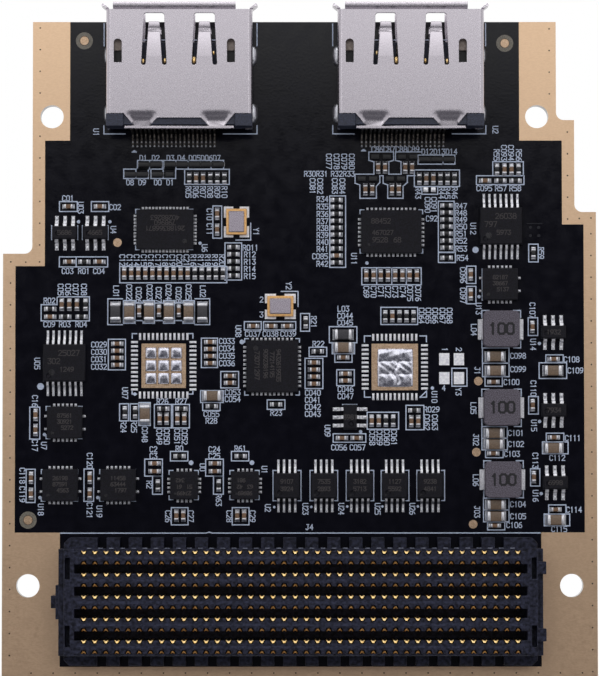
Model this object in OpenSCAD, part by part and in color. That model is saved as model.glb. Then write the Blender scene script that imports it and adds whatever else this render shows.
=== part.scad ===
// Video mezzanine module: a small circuit board with two video sockets along its front edge,
// a ten-row board-to-board connector along its rear edge, and chips between them.
// X runs across the board, Y from the rear edge to the sockets, Z up from the component face.
// The origin lies midway between the two rear standoff holes, on the component face.

/* [Board] */
// Width of the wide rear part
board_w = 69; // [69:0.5:74]
// Length from the rear edge to the front edge
board_l = 76.5; // [76.5:0.5:82]
// Thickness of the laminate
board_t = 1.6; // [1.2:0.1:2.4]
// Distance that the left edge steps in, in front
left_step_in = 3.4; // [2.5:0.1:3.6]
// Distance that the right edge steps in, in front
right_step_in = 4.6; // [4:0.1:4.8]
// Distance that the right edge has stepped in along its middle stretch
right_mid_step_in = 2.5; // [1.5:0.1:3.4]
// Length of the narrow part on the left
left_step_l = 27.1; // [26:0.1:29]
// Length of the narrow part on the right
right_step_l = 11.5; // [10.5:0.1:12.5]
// Length of the narrow and the middle part on the right
right_mid_l = 22.25; // [20:0.25:25]
// Radius in the inner corners of the steps
corner_r = 0.9; // [0.4:0.1:1.5]
// Diameter of the four standoff holes
standoff_hole_d = 2.7; // [2.2:0.1:3.2]
// Distance of the two rear standoff holes from the side edges
rear_hole_in = 3; // [2.5:0.1:3.2]
// Distance of the rear standoff holes from the rear edge
rear_hole_setback = 10.85; // [8:0.05:13]
// Distance of the two front standoff holes from the side edges
front_hole_in = 2.25; // [2:0.05:2.4]
// Distance of the front standoff holes from the front edge
front_hole_setback = 11.1; // [10:0.1:12]
// Width of the bare plated border along the sides
border_w = 1.45; // [0.8:0.05:2]
// Thickness of the plated copper and of the solder lands
plating_t = 0.05; // [0.03:0.01:0.1]

/* [Sockets] */
// Place of the left socket across the board
left_socket_x = -13.85; // [-15:0.05:-13]
// Place of the right socket across the board
right_socket_x = 12.8; // [12.4:0.05:14.5]
// Width over the steel shell
shell_w = 16.8; // [16:0.1:17.4]
// Height of the shell's top above the board
shell_h = 6.25; // [6:0.05:7]
// Gap between the board and the shell's floor
shell_lift = 0.7; // [0.4:0.1:0.9]
// Thickness of the shell's sheet
sheet_t = 0.3; // [0.2:0.02:0.36]
// Distance that the shell stands ahead of the front edge
shell_overhang = 0.65; // [0.3:0.05:1.5]
// Length of the shell behind the front edge
shell_reach = 12.8; // [12.4:0.1:14]
// Slope of the cut corner of the mouth, measured along one side
mouth_corner = 1.6; // [0.8:0.1:2]
// Distance that the flared lips reach ahead of the shell
lip_out = 0.7; // [0.4:0.05:1]
// Distance that the shell's legs stand out under the board
leg_out = 0.5; // [0.2:0.05:0.8]
// Width across the tongue
tongue_w = 11.6; // [11.4:0.1:13]
// Thickness of the tongue
tongue_t = 1.1; // [0.9:0.05:1.3]
// Distance of the tongue's tip behind the front edge
tongue_tip = 2.9; // [2.8:0.1:4]
// Distance of the housing's front face behind the front edge
housing_front = 7.2; // [6.6:0.1:8]
// Distance between neighbouring contacts
socket_pitch = 0.5; // [0.45:0.01:0.55]
// Number of contacts in each of the two rows
socket_contacts_per_row = 10; // [6:1:10]
// Width of one contact
socket_contact_w = 0.24; // [0.16:0.02:0.3]

/* [Board connector] */
// Place across the board
mezz_x = 0.1; // [-0.5:0.05:0.5]
// Distance of its middle from the rear edge
mezz_setback = 9.1; // [8.5:0.1:9.6]
// Width over the end walls
mezz_w = 55.4; // [55:0.2:56.4]
// Depth over the long walls
mezz_depth = 12.2; // [12.1:0.05:12.6]
// Height of the ribs' tops above the board
mezz_h = 6.4; // [5:0.1:9]
// Gap between the board and the base
mezz_lift = 0.35; // [0.2:0.05:0.5]
// Distance between neighbouring contacts of a row
mezz_pitch = 1.27; // [1.25:0.01:1.28]
// Distance between the middles of neighbouring ribs
rib_pitch = 2.54; // [2.4:0.02:2.56]
// Thickness of a rib
rib_t = 1.5; // [1.3:0.05:1.6]
// Number of ribs, with a row of contacts on each side
ribs = 5; // [3:1:5]
// Number of contacts in a row
columns = 40; // [20:2:40]
// Depth of the tabs that stand out in front and behind
tab_out = 1.25; // [0.6:0.05:1.4]

/* [Chips] */
// Width of a solder land under a fine lead
fine_land_w = 0.26; // [0.18:0.02:0.3]
// Distance that a land reaches beyond a flat chip's edge
flat_land_out = 0.35; // [0.2:0.05:0.4]
// Thickness of a formed lead
lead_t = 0.15; // [0.1:0.01:0.2]
// Side of the square power coils
coil_w = 4.2; // [3.6:0.1:4.4]
// Height of the power coils
coil_h = 2; // [1.2:0.1:3]
// Length of the crystals' cases
crystal_l = 3.05; // [2.8:0.05:3.2]
// Width of the crystals' cases
crystal_w = 2.4; // [2:0.05:2.6]

/* [Small parts] */
// Length of a small resistor or capacitor
small_l = 1; // [0.9:0.02:1.1]
// Width of a small resistor or capacitor
small_w = 0.5; // [0.4:0.02:0.56]
// Length of a large capacitor or filter coil
large_l = 2; // [1.8:0.05:2.1]
// Width of a large capacitor or filter coil
large_w = 1.2; // [0.9:0.05:1.25]
// Height of a small capacitor
small_cap_h = 0.5; // [0.3:0.02:0.6]
// Height of a small resistor
resistor_h = 0.35; // [0.25:0.01:0.5]
// Height of a large capacitor
large_cap_h = 1; // [0.6:0.05:1.3]

/* [Hidden] */
$fn = 48;
rear_y = -rear_hole_setback;
front_y = board_l - rear_hole_setback;
right_x = board_w / 2;
seat_z = plating_t;

// Anchors of the layout: where each group of parts is measured from
REAR = [0, rear_y];
REAR_LEFT = [-right_x, rear_y];
REAR_RIGHT = [right_x, rear_y];
FRONT_LEFT = [-right_x, front_y];
FRONT_RIGHT = [right_x, front_y];
LEFT_SOCKET = [left_socket_x, front_y];
RIGHT_SOCKET = [right_socket_x, front_y];

// Chip families: body size, height, leads along X sides, leads along Y sides, pitch, lead reach
// A reach of 0 is a flat package, whose lands lie under its edge
DRIVER_L = [[6.6, 4.6, 0.85], 14, 9, 0.4, 0];
DRIVER_R = [[7, 5, 0.85], 12, 7, 0.5, 0];
SQUARE_40 = [[6, 6, 0.9], 10, 10, 0.5, 0];
SWITCH = [[4.1, 3.7, 0.75], 6, 2, 0.5, 0];
BUFFER = [[3.2, 3.2, 0.75], 4, 4, 0.5, 0];
TSSOP = [[5, 4.4, 1.05], 7, 0, 0.65, 1];
MSOP = [[3, 3, 0.95], 4, 0, 0.65, 0.95];
SOT = [[2.95, 1.6, 1.1], 3, 0, 0.95, 0.6];

// Every chip: node name, family, anchor, place from the anchor, turn
chips = [
    ["left_driver_chip", DRIVER_L, LEFT_SOCKET, [-1.8, -24.3], 0],
    ["right_driver_chip", DRIVER_R, RIGHT_SOCKET, [-2.15, -24.6], 0],
    ["control_chip", SQUARE_40, REAR, [-3.2, 36.25], 0],
    ["left_translator_chip", TSSOP, REAR_LEFT, [7.2, 36.65], 0],
    ["right_translator_chip", TSSOP, FRONT_RIGHT, [-11.1, -23.95], 0],
    ["right_switch_chip", SWITCH, FRONT_RIGHT, [-11.2, -30.7], 0],
    ["left_upper_switch_chip", SWITCH, REAR_LEFT, [7.25, 29.75], 0],
    ["left_outer_switch_chip", SWITCH, REAR_LEFT, [6.75, 22.5], 0],
    ["left_inner_switch_chip", SWITCH, REAR_LEFT, [13.45, 22.5], 0],
    ["left_buffer_chip", BUFFER, REAR, [-13.4, 22.45], 0],
    ["right_buffer_chip", BUFFER, REAR, [-6.35, 22.45], 0],
    ["memory_chip_1", MSOP, REAR, [-1.5, 22.4], 0],
    ["memory_chip_2", MSOP, REAR, [2.8, 22.4], 0],
    ["memory_chip_3", MSOP, REAR, [6.95, 22.4], 0],
    ["memory_chip_4", MSOP, REAR, [11, 22.4], 0],
    ["memory_chip_5", MSOP, REAR, [15.1, 22.4], 0],
    ["outer_logic_chip", SOT, FRONT_LEFT, [7.2, -24.7], 0],
    ["inner_logic_chip", SOT, FRONT_LEFT, [10.75, -24.7], 0],
    ["middle_logic_chip", SOT, REAR, [5.85, 30.35], 90],
    ["upper_regulator_chip", SOT, REAR_RIGHT, [-5.05, 40.2], 0],
    ["middle_regulator_chip", SOT, REAR_RIGHT, [-5.05, 31.15], 0],
    ["lower_regulator_chip", SOT, REAR_RIGHT, [-4.9, 22.75], 0]
];

// Power coils: node name and place from the rear right corner
coils = [
    ["upper_power_coil", [-11.15, 40.55]],
    ["middle_power_coil", [-11.1, 31.45]],
    ["lower_power_coil", [-11, 23.1]]
];

// Crystals: place name, anchor, place from the anchor, turn
crystals = [
    ["left", LEFT_SOCKET, [6.5, -23.4], 90],
    ["middle", REAR, [-2.25, 43.25], 0]
];

// Small two-ended parts, in rows: kind, anchor, first place, step, how many, turn
// Kinds: C small capacitor, R resistor, D diode, B large capacitor, F filter coil
ACROSS = 0;
ALONG = 90;
rows = [
    ["C", FRONT_LEFT, [7.6, -21.6], [3.65, 0], 2, ACROSS],
    ["C", FRONT_LEFT, [7.7, -28.05], [3.5, 0], 2, ACROSS],
    ["R", FRONT_LEFT, [9.45, -28.05], [0, 0], 1, ACROSS],
    ["D", LEFT_SOCKET, [-4.25, -16.7], [1.4, 0], 2, ACROSS],
    ["D", LEFT_SOCKET, [-1.2, -16.7], [1.4, 0], 5, ACROSS],
    ["D", LEFT_SOCKET, [-5.85, -17.85], [1.4, 0], 2, ACROSS],
    ["D", LEFT_SOCKET, [-2.7, -17.85], [1.4, 0], 1, ACROSS],
    ["R", LEFT_SOCKET, [1, -18.3], [0, 0], 1, ALONG],
    ["C", LEFT_SOCKET, [1.8, -18.3], [0.82, 0], 2, ALONG],
    ["R", LEFT_SOCKET, [3.45, -18.3], [0.82, 0], 3, ALONG],
    ["C", LEFT_SOCKET, [4.25, -22.45], [0, -1.85], 2, ALONG],
    ["R", LEFT_SOCKET, [6.15, -26.35], [0, -0.83], 5, ACROSS],
    ["C", LEFT_SOCKET, [-6.55, -29.4], [0.82, 0], 10, ALONG],
    ["R", LEFT_SOCKET, [1.65, -29.4], [0.82, 0], 5, ALONG],
    ["C", RIGHT_SOCKET, [-3.65, -17.05], [0.8, 0], 2, ALONG],
    ["C", RIGHT_SOCKET, [-0.5, -17.05], [0.8, 0], 2, ALONG],
    ["C", RIGHT_SOCKET, [-5.15, -19.6], [0.8, 0], 2, ALONG],
    ["C", RIGHT_SOCKET, [-2.05, -19.6], [0.8, 0], 2, ALONG],
    ["D", RIGHT_SOCKET, [1.8, -16.1], [1.4, 0], 3, ACROSS],
    ["R", RIGHT_SOCKET, [1.15, -18.35], [0, 0], 1, ALONG],
    ["C", RIGHT_SOCKET, [1.95, -18.35], [0.82, 0], 2, ALONG],
    ["R", RIGHT_SOCKET, [3.6, -18.35], [0.82, 0], 3, ALONG],
    ["R", RIGHT_SOCKET, [-8.5, -20.85], [0, -0.81], 8, ACROSS],
    ["C", RIGHT_SOCKET, [-8.5, -27.35], [0, 0], 1, ACROSS],
    ["R", RIGHT_SOCKET, [-8.5, -28.15], [0, 0], 1, ACROSS],
    ["R", RIGHT_SOCKET, [4.3, -21.5], [0, -0.82], 7, ACROSS],
    ["R", RIGHT_SOCKET, [4.3, -27.6], [0, 0], 1, ACROSS],
    ["C", RIGHT_SOCKET, [-5.05, -29.65], [0.84, 0], 8, ALONG],
    ["R", RIGHT_SOCKET, [-2.85, -34.4], [0, 0], 1, ALONG],
    ["C", RIGHT_SOCKET, [-2.03, -34.4], [0, 0], 1, ALONG],
    ["R", RIGHT_SOCKET, [-1.2, -34.4], [0.82, 0], 3, ALONG],
    ["R", FRONT_RIGHT, [-11.5, -17.3], [2.5, 0], 2, ALONG],
    ["C", FRONT_RIGHT, [-10.65, -17.3], [0.82, 0], 2, ALONG],
    ["C", FRONT_RIGHT, [-12.9, -18.6], [0, 0], 1, ACROSS],
    ["R", FRONT_RIGHT, [-11.1, -18.6], [1.75, 0], 2, ACROSS],
    ["R", FRONT_RIGHT, [-7.3, -27.05], [0, 0], 1, ALONG],
    ["C", FRONT_RIGHT, [-14.6, -29.55], [0, -2.3], 2, ALONG],
    ["C", REAR_LEFT, [6.85, 43.45], [0.88, 0], 3, ALONG],
    ["R", REAR_LEFT, [9.6, 43.45], [0, 0], 1, ALONG],
    ["R", REAR_LEFT, [5.5, 42.95], [0, 0], 1, ACROSS],
    ["C", REAR_LEFT, [5.5, 42.05], [0, 0], 1, ACROSS],
    ["R", REAR_LEFT, [7.25, 42.05], [1.9, 0], 2, ACROSS],
    ["F", REAR, [-21.4, 42.6], [10.1, 0], 2, ALONG],
    ["B", REAR, [-19.8, 42.6], [2.3, 0], 4, ALONG],
    ["C", REAR, [-18.65, 42.75], [2.3, 0], 3, ALONG],
    ["C", REAR, [-21.2, 38.9], [0, -0.82], 4, ACROSS],
    ["C", REAR, [-10.4, 39.1], [0, -0.82], 4, ACROSS],
    ["C", REAR, [-8.1, 35.15], [0, -0.8], 2, ACROSS],
    ["C", REAR, [-5.4, 40.95], [0, 0], 1, ACROSS],
    ["C", REAR, [-3.3, 40.95], [1.85, 0], 2, ACROSS],
    ["R", REAR, [0.7, 41.4], [0, 0], 1, ALONG],
    ["R", REAR, [2.1, 38], [0, 0], 1, ACROSS],
    ["C", REAR, [1.65, 36.7], [0, -0.82], 4, ACROSS],
    ["F", REAR, [5.05, 39.95], [0, 0], 1, ACROSS],
    ["B", REAR, [5.05, 38.45], [0, 0], 1, ACROSS],
    ["C", REAR, [5.05, 37.3], [0, 0], 1, ACROSS],
    ["C", REAR, [5.3, 35.4], [0, -0.8], 2, ACROSS],
    ["C", REAR, [4.9, 27.95], [1.7, 0], 2, ACROSS],
    ["C", REAR, [8.35, 29.95], [0.82, 0], 2, ALONG],
    ["R", REAR, [10, 29.95], [0.85, 0], 2, ALONG],
    ["R", REAR, [13.3, 31.15], [0, 0], 1, ACROSS],
    ["C", REAR, [12.95, 29.9], [0.8, 0], 2, ALONG],
    ["R", REAR, [-2.75, 31.85], [0, 0], 1, ACROSS],
    ["B", REAR, [-10.15, 32.85], [0, 0], 1, ACROSS],
    ["R", REAR, [-10.2, 31.65], [0, 0], 1, ACROSS],
    ["B", REAR, [-17.95, 30.75], [0, 0], 1, ALONG],
    ["R", REAR, [-20.3, 30.95], [1.2, 0], 2, ALONG],
    ["R", REAR, [-15.85, 31.35], [2.1, 0], 2, ACROSS],
    ["C", REAR, [-16.25, 30.2], [0.8, 0], 2, ALONG],
    ["C", REAR, [-14.2, 30.2], [0.8, 0], 2, ALONG],
    ["C", REAR_LEFT, [3.85, 30.65], [0, -1.75], 2, ALONG],
    ["C", REAR_LEFT, [3.35, 23.35], [0, -1.85], 2, ALONG],
    ["C", REAR_LEFT, [10.15, 23.35], [0, -1.85], 2, ALONG],
    ["C", REAR, [-16.85, 25], [0, -0.9], 2, ACROSS],
    ["R", REAR, [-16.45, 22.45], [7.05, 0], 2, ALONG],
    ["R", REAR, [-13.95, 25.85], [7.1, 0], 2, ACROSS],
    ["C", REAR, [-9.85, 25], [0, -0.9], 2, ACROSS],
    ["C", REAR, [-14.3, 18.95], [0.8, 0], 2, ALONG],
    ["C", REAR, [-7.25, 18.95], [0.8, 0], 2, ALONG],
    ["B", REAR_RIGHT, [-11.8, 37.4], [0, -1.65], 2, ACROSS],
    ["C", REAR_RIGHT, [-12, 34.45], [0, 0], 1, ACROSS],
    ["B", REAR_RIGHT, [-11.95, 28.5], [0, -1.3], 2, ACROSS],
    ["C", REAR_RIGHT, [-12.05, 26.15], [0, 0], 1, ACROSS],
    ["B", REAR_RIGHT, [-11.8, 20.2], [0, -1.35], 2, ACROSS],
    ["C", REAR_RIGHT, [-11.9, 17.8], [0, 0], 1, ACROSS],
    ["C", REAR_RIGHT, [-7.45, 40.85], [0, -9.1], 2, ALONG],
    ["C", REAR_RIGHT, [-7.35, 23.4], [0, 0], 1, ALONG],
    ["C", REAR_RIGHT, [-5, 37.1], [0, -9.1], 2, ACROSS],
    ["C", REAR_RIGHT, [-4.85, 19.65], [0, 0], 1, ACROSS],
    ["B", REAR_RIGHT, [-5.1, 35.75], [0, -9], 2, ACROSS],
    ["B", REAR_RIGHT, [-4.85, 18.45], [0, 0], 1, ACROSS]
];

// Chip places that were left empty: centre, lands along a side, land centre line, plated pad side
empty_places = [
    [[-15.8, 36.35], 12, 3.4, 5.15],
    [[11.05, 36.2], 11, 3.45, 5.4]
];

// Board

// Fills an inner corner with a round of the given radius, towards X and Y
module inner_round(r) {
    difference() {
        square(r);
        translate([r, r]) circle(r);
    }
}

// The board's outline with its steps, on the origin of the part
module board_outline() {
    polygon([
        [-right_x, rear_y],
        [right_x, rear_y],
        [right_x, front_y - right_mid_l],
        [right_x - right_mid_step_in, front_y - right_mid_l],
        [right_x - right_mid_step_in, front_y - right_step_l],
        [right_x - right_step_in, front_y - right_step_l],
        [right_x - right_step_in, front_y],
        [left_step_in - right_x, front_y],
        [left_step_in - right_x, front_y - left_step_l],
        [-right_x, front_y - left_step_l]
    ]);
    translate([right_x - right_mid_step_in, front_y - right_mid_l]) inner_round(corner_r);
    translate([right_x - right_step_in, front_y - right_step_l]) inner_round(corner_r);
    translate([left_step_in - right_x, front_y - left_step_l]) mirror([1, 0]) inner_round(corner_r);
}

// The black masked field inside the bare border
mask_front_in_left = 4.35;
mask_front_in_right = 4.3;
mask_front_l = 13.9;
mask_rear_l = 17;
mask_mezz_gap = 1.5;
mask_ledge = 1.45;
module mask_field() {
    front_left = left_step_in - right_x;
    front_right = right_x - right_step_in;
    mid_right = right_x - right_mid_step_in;
    mezz_half = mezz_w / 2 + 0.2;
    polygon([
        [mezz_x - mezz_half, rear_y + mask_mezz_gap],
        [mezz_x + mezz_half, rear_y + mask_mezz_gap],
        [mezz_x + mezz_half, rear_y + mask_rear_l],
        [right_x - border_w, rear_y + mask_rear_l],
        [right_x - border_w, front_y - right_mid_l - mask_ledge],
        [mid_right - border_w, front_y - right_mid_l - mask_ledge],
        [mid_right - border_w, front_y - mask_front_l],
        [front_right - mask_front_in_right, front_y - mask_front_l],
        [front_right - mask_front_in_right, front_y + 1],
        [front_left + mask_front_in_left, front_y + 1],
        [front_left + mask_front_in_left, front_y - mask_front_l],
        [front_left + border_w, front_y - mask_front_l],
        [front_left + border_w, front_y - left_step_l - mask_ledge],
        [border_w - right_x, front_y - left_step_l - mask_ledge],
        [border_w - right_x, rear_y + mask_rear_l],
        [mezz_x - mezz_half, rear_y + mask_rear_l]
    ]);
}

module standoff_holes(r) {
    front_hole_y = front_y - front_hole_setback;
    for (side = [-1, 1]) translate([side * (right_x - rear_hole_in), 0]) circle(r);
    translate([left_step_in + front_hole_in - right_x, front_hole_y]) circle(r);
    translate([right_x - right_step_in - front_hole_in, front_hole_y]) circle(r);
}

module circuit_board() {
    color("#15151c")
    translate([0, 0, -board_t])
    difference() {
        linear_extrude(board_t) difference() {
            board_outline();
            standoff_holes(standoff_hole_d / 2);
        }
        for (x = [left_socket_x, right_socket_x])
            translate([x, 0, -1]) leg_slots(board_t + 2);
    }
}

module ground_plating() {
    color("#c9a985")
    linear_extrude(plating_t) difference() {
        board_outline();
        mask_field();
        standoff_holes(standoff_hole_d / 2);
    }
}

module top_ground_plating() { ground_plating(); }

module under_ground_plating() {
    translate([0, 0, -board_t - plating_t]) ground_plating();
}

// Sockets, drawn about their own middle, with Y from the board's front edge backwards

shell_floor = shell_lift + sheet_t;
shell_ceiling = shell_h - sheet_t;
bend_r = 0.5;
leg_places = [4, 10.75];
leg_w = 1.6;
leg_play = 0.15;
solder_ring = 0.5;
tongue_z = (shell_floor + shell_ceiling) / 2;
corner_block_w = 2;
corner_block_front = 11.4;
corner_notch_z = 3.6;
rear_cut_l = 1.2;
finger_x = 2.9;
finger_root = 5.55;
finger_tip = 0.75;
finger_w = 1.9;
finger_tip_w = 1.24;
finger_leg_w = 0.5;
finger_head_w = 2.4;
finger_head_r = 0.35;
finger_head_back = 0.2;
// How far behind the tip each bend of the finger lies, and how deep
finger_bends = [[0, 0.28], [0.3, 0.25], [0.6, 0.3], [0.85, 0.4], [1.25, 0.32], [1.85, 0.2], [2.8, 0.1]];

// Places its children on a socket's middle, at the board's front edge, with Y running backwards
module at_socket(x) {
    translate([x, front_y, 0]) mirror([0, 1, 0]) children();
}

module leg_slots(depth) {
    slot_w = sheet_t + 2 * leg_play;
    slot_l = leg_w + 2 * leg_play;
    for (side = [-1, 1], at = leg_places)
        translate([side * (shell_w - sheet_t) / 2 - slot_w / 2, front_y - at - slot_l / 2, 0])
            cube([slot_w, slot_l, depth]);
}

// A cross-section of the shell: a rounded box with one cut corner at its floor
module shell_section(inset) {
    half = shell_w / 2 - inset;
    low = shell_lift + inset;
    high = shell_h - inset;
    cut = mouth_corner - (2 - sqrt(2)) * inset;
    r = max(bend_r - inset, 0.1);
    difference() {
        union() {
            translate([-half + r, low]) square([2 * half - 2 * r, high - low]);
            translate([-half, low + r]) square([2 * half, high - low - 2 * r]);
            for (x = [-half + r, half - r], z = [low + r, high - r]) translate([x, z]) circle(r);
        }
        polygon([
            [half + 1, low - 1], [half + 1, low + cut + 1], [half - cut - 1, low - 1]
        ]);
    }
}

// Extrudes a cross-section in X and Z from one depth to another
module along_y(from, to) {
    translate([0, to, 0]) rotate([90, 0, 0]) linear_extrude(to - from) children();
}

// Extrudes a side view in Y and Z over a width centred on X
module across_x(w) {
    translate([-w / 2, 0, 0]) rotate([90, 0, 90]) linear_extrude(w) children();
}

// What is cut from the top of the shell at its rear: a notch at each corner, and a hollow between two tabs.
// A low bar folded down behind the housing joins the two tabs.
rear_hollow = 0.9;
rear_hollow_w = 6.8;
tab_slope = 0.9;
corner_slope = 1.2;
rear_bar_w = 12.6;
rear_bar_h = 0.9;
module shell_rear_trim() {
    notch_x = shell_w / 2 - corner_block_w;
    over = shell_w / 2 + 1;
    far = shell_reach + 1;
    wide = rear_hollow_w / 2;
    narrow = wide - tab_slope;
    polygon([
        [-over, corner_block_front], [-notch_x, corner_block_front], [-notch_x + corner_slope, shell_reach],
        [-wide, shell_reach], [-narrow, shell_reach - rear_hollow], [narrow, shell_reach - rear_hollow],
        [wide, shell_reach], [notch_x - corner_slope, shell_reach], [notch_x, corner_block_front],
        [over, corner_block_front], [over, far], [-over, far]
    ]);
}

// A spring finger: it starts at the rear end of its slot, dips into the mouth and turns up at its tip
module spring_finger() {
    t = sheet_t * 0.8;
    root = finger_root + 0.05;
    upper = [for (bend = finger_bends) [finger_tip + bend[0], shell_h - bend[1]]];
    lower = [for (i = [len(upper) - 1:-1:0]) upper[i] - [0, t]];
    intersection() {
        across_x(finger_w) polygon(concat(upper, [[root, shell_h], [root, shell_h - t]], lower));
        linear_extrude(shell_h + 1) polygon([
            [-finger_w / 2, root], [-finger_tip_w / 2, finger_tip],
            [finger_tip_w / 2, finger_tip], [finger_w / 2, root]
        ]);
    }
}

// The slot round a finger: a wide head at the free end, and two legs that spread backwards
module finger_slot() {
    far = (finger_w + finger_leg_w) / 2;
    head = finger_head_w / 2;
    neck = finger_tip + finger_head_back;
    r = finger_head_r;
    translate([-head, r - 0.2]) square([finger_head_w, neck + 0.2 - r]);
    translate([r - head, -0.2]) square([finger_head_w - 2 * r, r + 0.01]);
    for (side = [-1, 1]) translate([side * (head - r), r - 0.2]) circle(r);
    polygon([
        [-head, neck - 0.01], [head, neck - 0.01],
        [far + finger_leg_w / 2, finger_root], [-far - finger_leg_w / 2, finger_root]
    ]);
    for (side = [-1, 1]) translate([side * far, finger_root]) circle(finger_leg_w / 2);
}

// The opening that carries a floor slot's head out through the front edge
module floor_mouth() {
    translate([-finger_head_w / 2, -shell_overhang - 2]) square([finger_head_w, shell_overhang + 2]);
}

latch_slot_w = 0.9;
latch_slot_l = 2.7;
latch_slot_at = 2.8;
latch_places = [-7.05, 5.95];
module latch_slot() {
    r = latch_slot_w / 2;
    translate([-r, latch_slot_at + r]) square([latch_slot_w, latch_slot_l - r]);
    translate([0, latch_slot_at + r]) circle(r);
}

// A flared lip, seen from its side: it leans outwards from the edge of the sheet
top_lip_w = 14.1;
top_lip_x = -0.55;
side_lip_w = 2.4;
floor_lip_in = 1.5;
module lip_profile() {
    polygon([[0.01, 0], [0.01, -sheet_t], [-lip_out * 0.3, -sheet_t * 0.9],
             [-lip_out - 0.1, lip_out * 0.62], [-lip_out + 0.12, lip_out * 0.85], [-lip_out * 0.25, 0.08]]);
}

module socket_shell() {
    color("#b6b1b8") {
        difference() {
            along_y(-shell_overhang, shell_reach) difference() {
                shell_section(0);
                shell_section(sheet_t);
            }
            translate([0, 0, shell_ceiling - 0.2]) linear_extrude(2) {
                shell_rear_trim();
                for (x = [-finger_x, finger_x]) translate([x, 0]) finger_slot();
                for (x = latch_places) translate([x, 0]) latch_slot();
            }
            translate([0, 0, shell_lift - 0.2]) linear_extrude(sheet_t + 0.4)
                for (x = [-finger_x, finger_x]) translate([x, 0]) {
                    finger_slot();
                    floor_mouth();
                }
            for (side = [-1, 1])
                translate([side * shell_w / 2 - 1, corner_block_front, corner_notch_z])
                    cube([2, 4, shell_h]);
            translate([-shell_w / 2 - 1, shell_reach - rear_cut_l, -1])
                cube([shell_w + 2, 3, shell_floor + mouth_corner + 0.3]);
        }
        for (x = [-finger_x, finger_x]) translate([x, 0, 0]) {
            spring_finger();
            translate([0, 0, 2 * tongue_z]) mirror([0, 0, 1]) spring_finger();
        }
        translate([-rear_bar_w / 2, shell_reach - 0.01, shell_h - rear_bar_h])
            cube([rear_bar_w, sheet_t + 0.01, rear_bar_h]);
        translate([top_lip_x, -shell_overhang, shell_h]) across_x(top_lip_w) lip_profile();
        difference() {
            translate([-mouth_corner / 2, -shell_overhang, shell_lift]) mirror([0, 0, 1])
                across_x(shell_w - mouth_corner - 2 * floor_lip_in) lip_profile();
            translate([0, 0, shell_lift - shell_h / 2]) linear_extrude(shell_h)
                for (x = [-finger_x, finger_x]) translate([x, 0]) floor_mouth();
        }
        for (side = [-1, 1])
            translate([side * shell_w / 2, -shell_overhang, tongue_z + (mouth_corner - side_lip_w) / 2])
                mirror([side < 0 ? 1 : 0, 0, 0])
                    linear_extrude(side_lip_w) rotate(90) mirror([0, 1]) lip_profile();
        for (side = [-1, 1], at = leg_places)
            translate([side * (shell_w - sheet_t) / 2 - sheet_t / 2, at - leg_w / 2, -board_t - leg_out])
                cube([sheet_t, leg_w, board_t + leg_out + shell_lift + mouth_corner + 0.4]);
    }
}

// One contact, seen from its side: along the tongue, through the housing and down to the board
contact_t = 0.15;
tail_gap = 0.35;
tail_stagger = 0.25;
tail_l = 1.75;
foot_l = 0.5;
module contact_profile(z, back) {
    y0 = tongue_tip + 0.35;
    y1 = shell_reach + back;
    foot = shell_reach + tail_l;
    heel = foot - foot_l;
    t = contact_t;
    polygon([
        [y0, z], [y1, z], [heel, seat_z + t], [foot, seat_z + t], [foot, seat_z],
        [heel - t, seat_z], [y1 - t, z - t], [y0, z - t]
    ]);
}

// Contacts lie in two rows: one on the tongue's top, one under it, half a step apart
contact_shift = -0.8;
module all_contacts() {
    span = (2 * socket_contacts_per_row - 1) * socket_pitch;
    for (i = [0:2 * socket_contacts_per_row - 1]) {
        upper = i % 2 == 0;
        z = upper ? tongue_z + tongue_t / 2 : tongue_z - tongue_t / 2 + contact_t;
        translate([contact_shift - span / 2 + i * socket_pitch, 0, 0])
            across_x(socket_contact_w) contact_profile(z, upper ? tail_gap + tail_stagger : tail_gap);
    }
}

// The moulding inside the shell: a block with a tongue, two blocks at the rear corners and two pegs
fit = 0.02;
housing_back_in = 0.15;
peg_places = [-5.75, 5.75];
peg_w = 1.5;
peg_l = 2.6;
peg_back_in = 0.4;
module socket_housing() {
    block_z = corner_notch_z + fit;
    block_w = corner_block_w - fit;
    peg_front = shell_reach - peg_back_in - peg_l;
    color("#1d1e26")
    difference() {
        union() {
            along_y(housing_front, shell_reach - housing_back_in) shell_section(sheet_t + fit);
            for (side = [-1, 1]) mirror([side < 0 ? 1 : 0, 0, 0])
                translate([shell_w / 2 - block_w, corner_block_front + fit, block_z])
                    cube([block_w, shell_reach - corner_block_front, shell_h - block_z]);
            translate([contact_shift - tongue_w / 2, tongue_tip, tongue_z - tongue_t / 2])
                cube([tongue_w, housing_front - tongue_tip + 1, tongue_t]);
            for (x = peg_places)
                translate([x - peg_w / 2, peg_front, 0]) cube([peg_w, peg_l, shell_floor + 1]);
        }
        all_contacts();
        translate([-shell_w / 2, 0, shell_lift - fit])
            cube([shell_w, shell_reach - rear_cut_l + fit, sheet_t + 2 * fit]);
    }
}

module socket_contacts() {
    color("#b9a06a") all_contacts();
}

// Solder round each leg, on both faces of the board, like a low collar
collar_h = 0.3;
module socket_solder() {
    collar_l = leg_w + 2 * solder_ring;
    color("#bcbcc0")
    for (x = [left_socket_x, right_socket_x]) at_socket(x)
        for (side = [-1, 1], at = leg_places)
            translate([side * (shell_w - sheet_t) / 2, at, 0]) difference() {
                for (z = [0, -board_t - collar_h]) translate([-sheet_t / 2 - solder_ring, -collar_l / 2, z])
                    cube([sheet_t + 2 * solder_ring, collar_l, collar_h]);
                translate([-sheet_t / 2, -leg_w / 2, -board_t - 1]) cube([sheet_t, leg_w, board_t + 3]);
            }
}

// Board connector, drawn about its own middle

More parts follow.
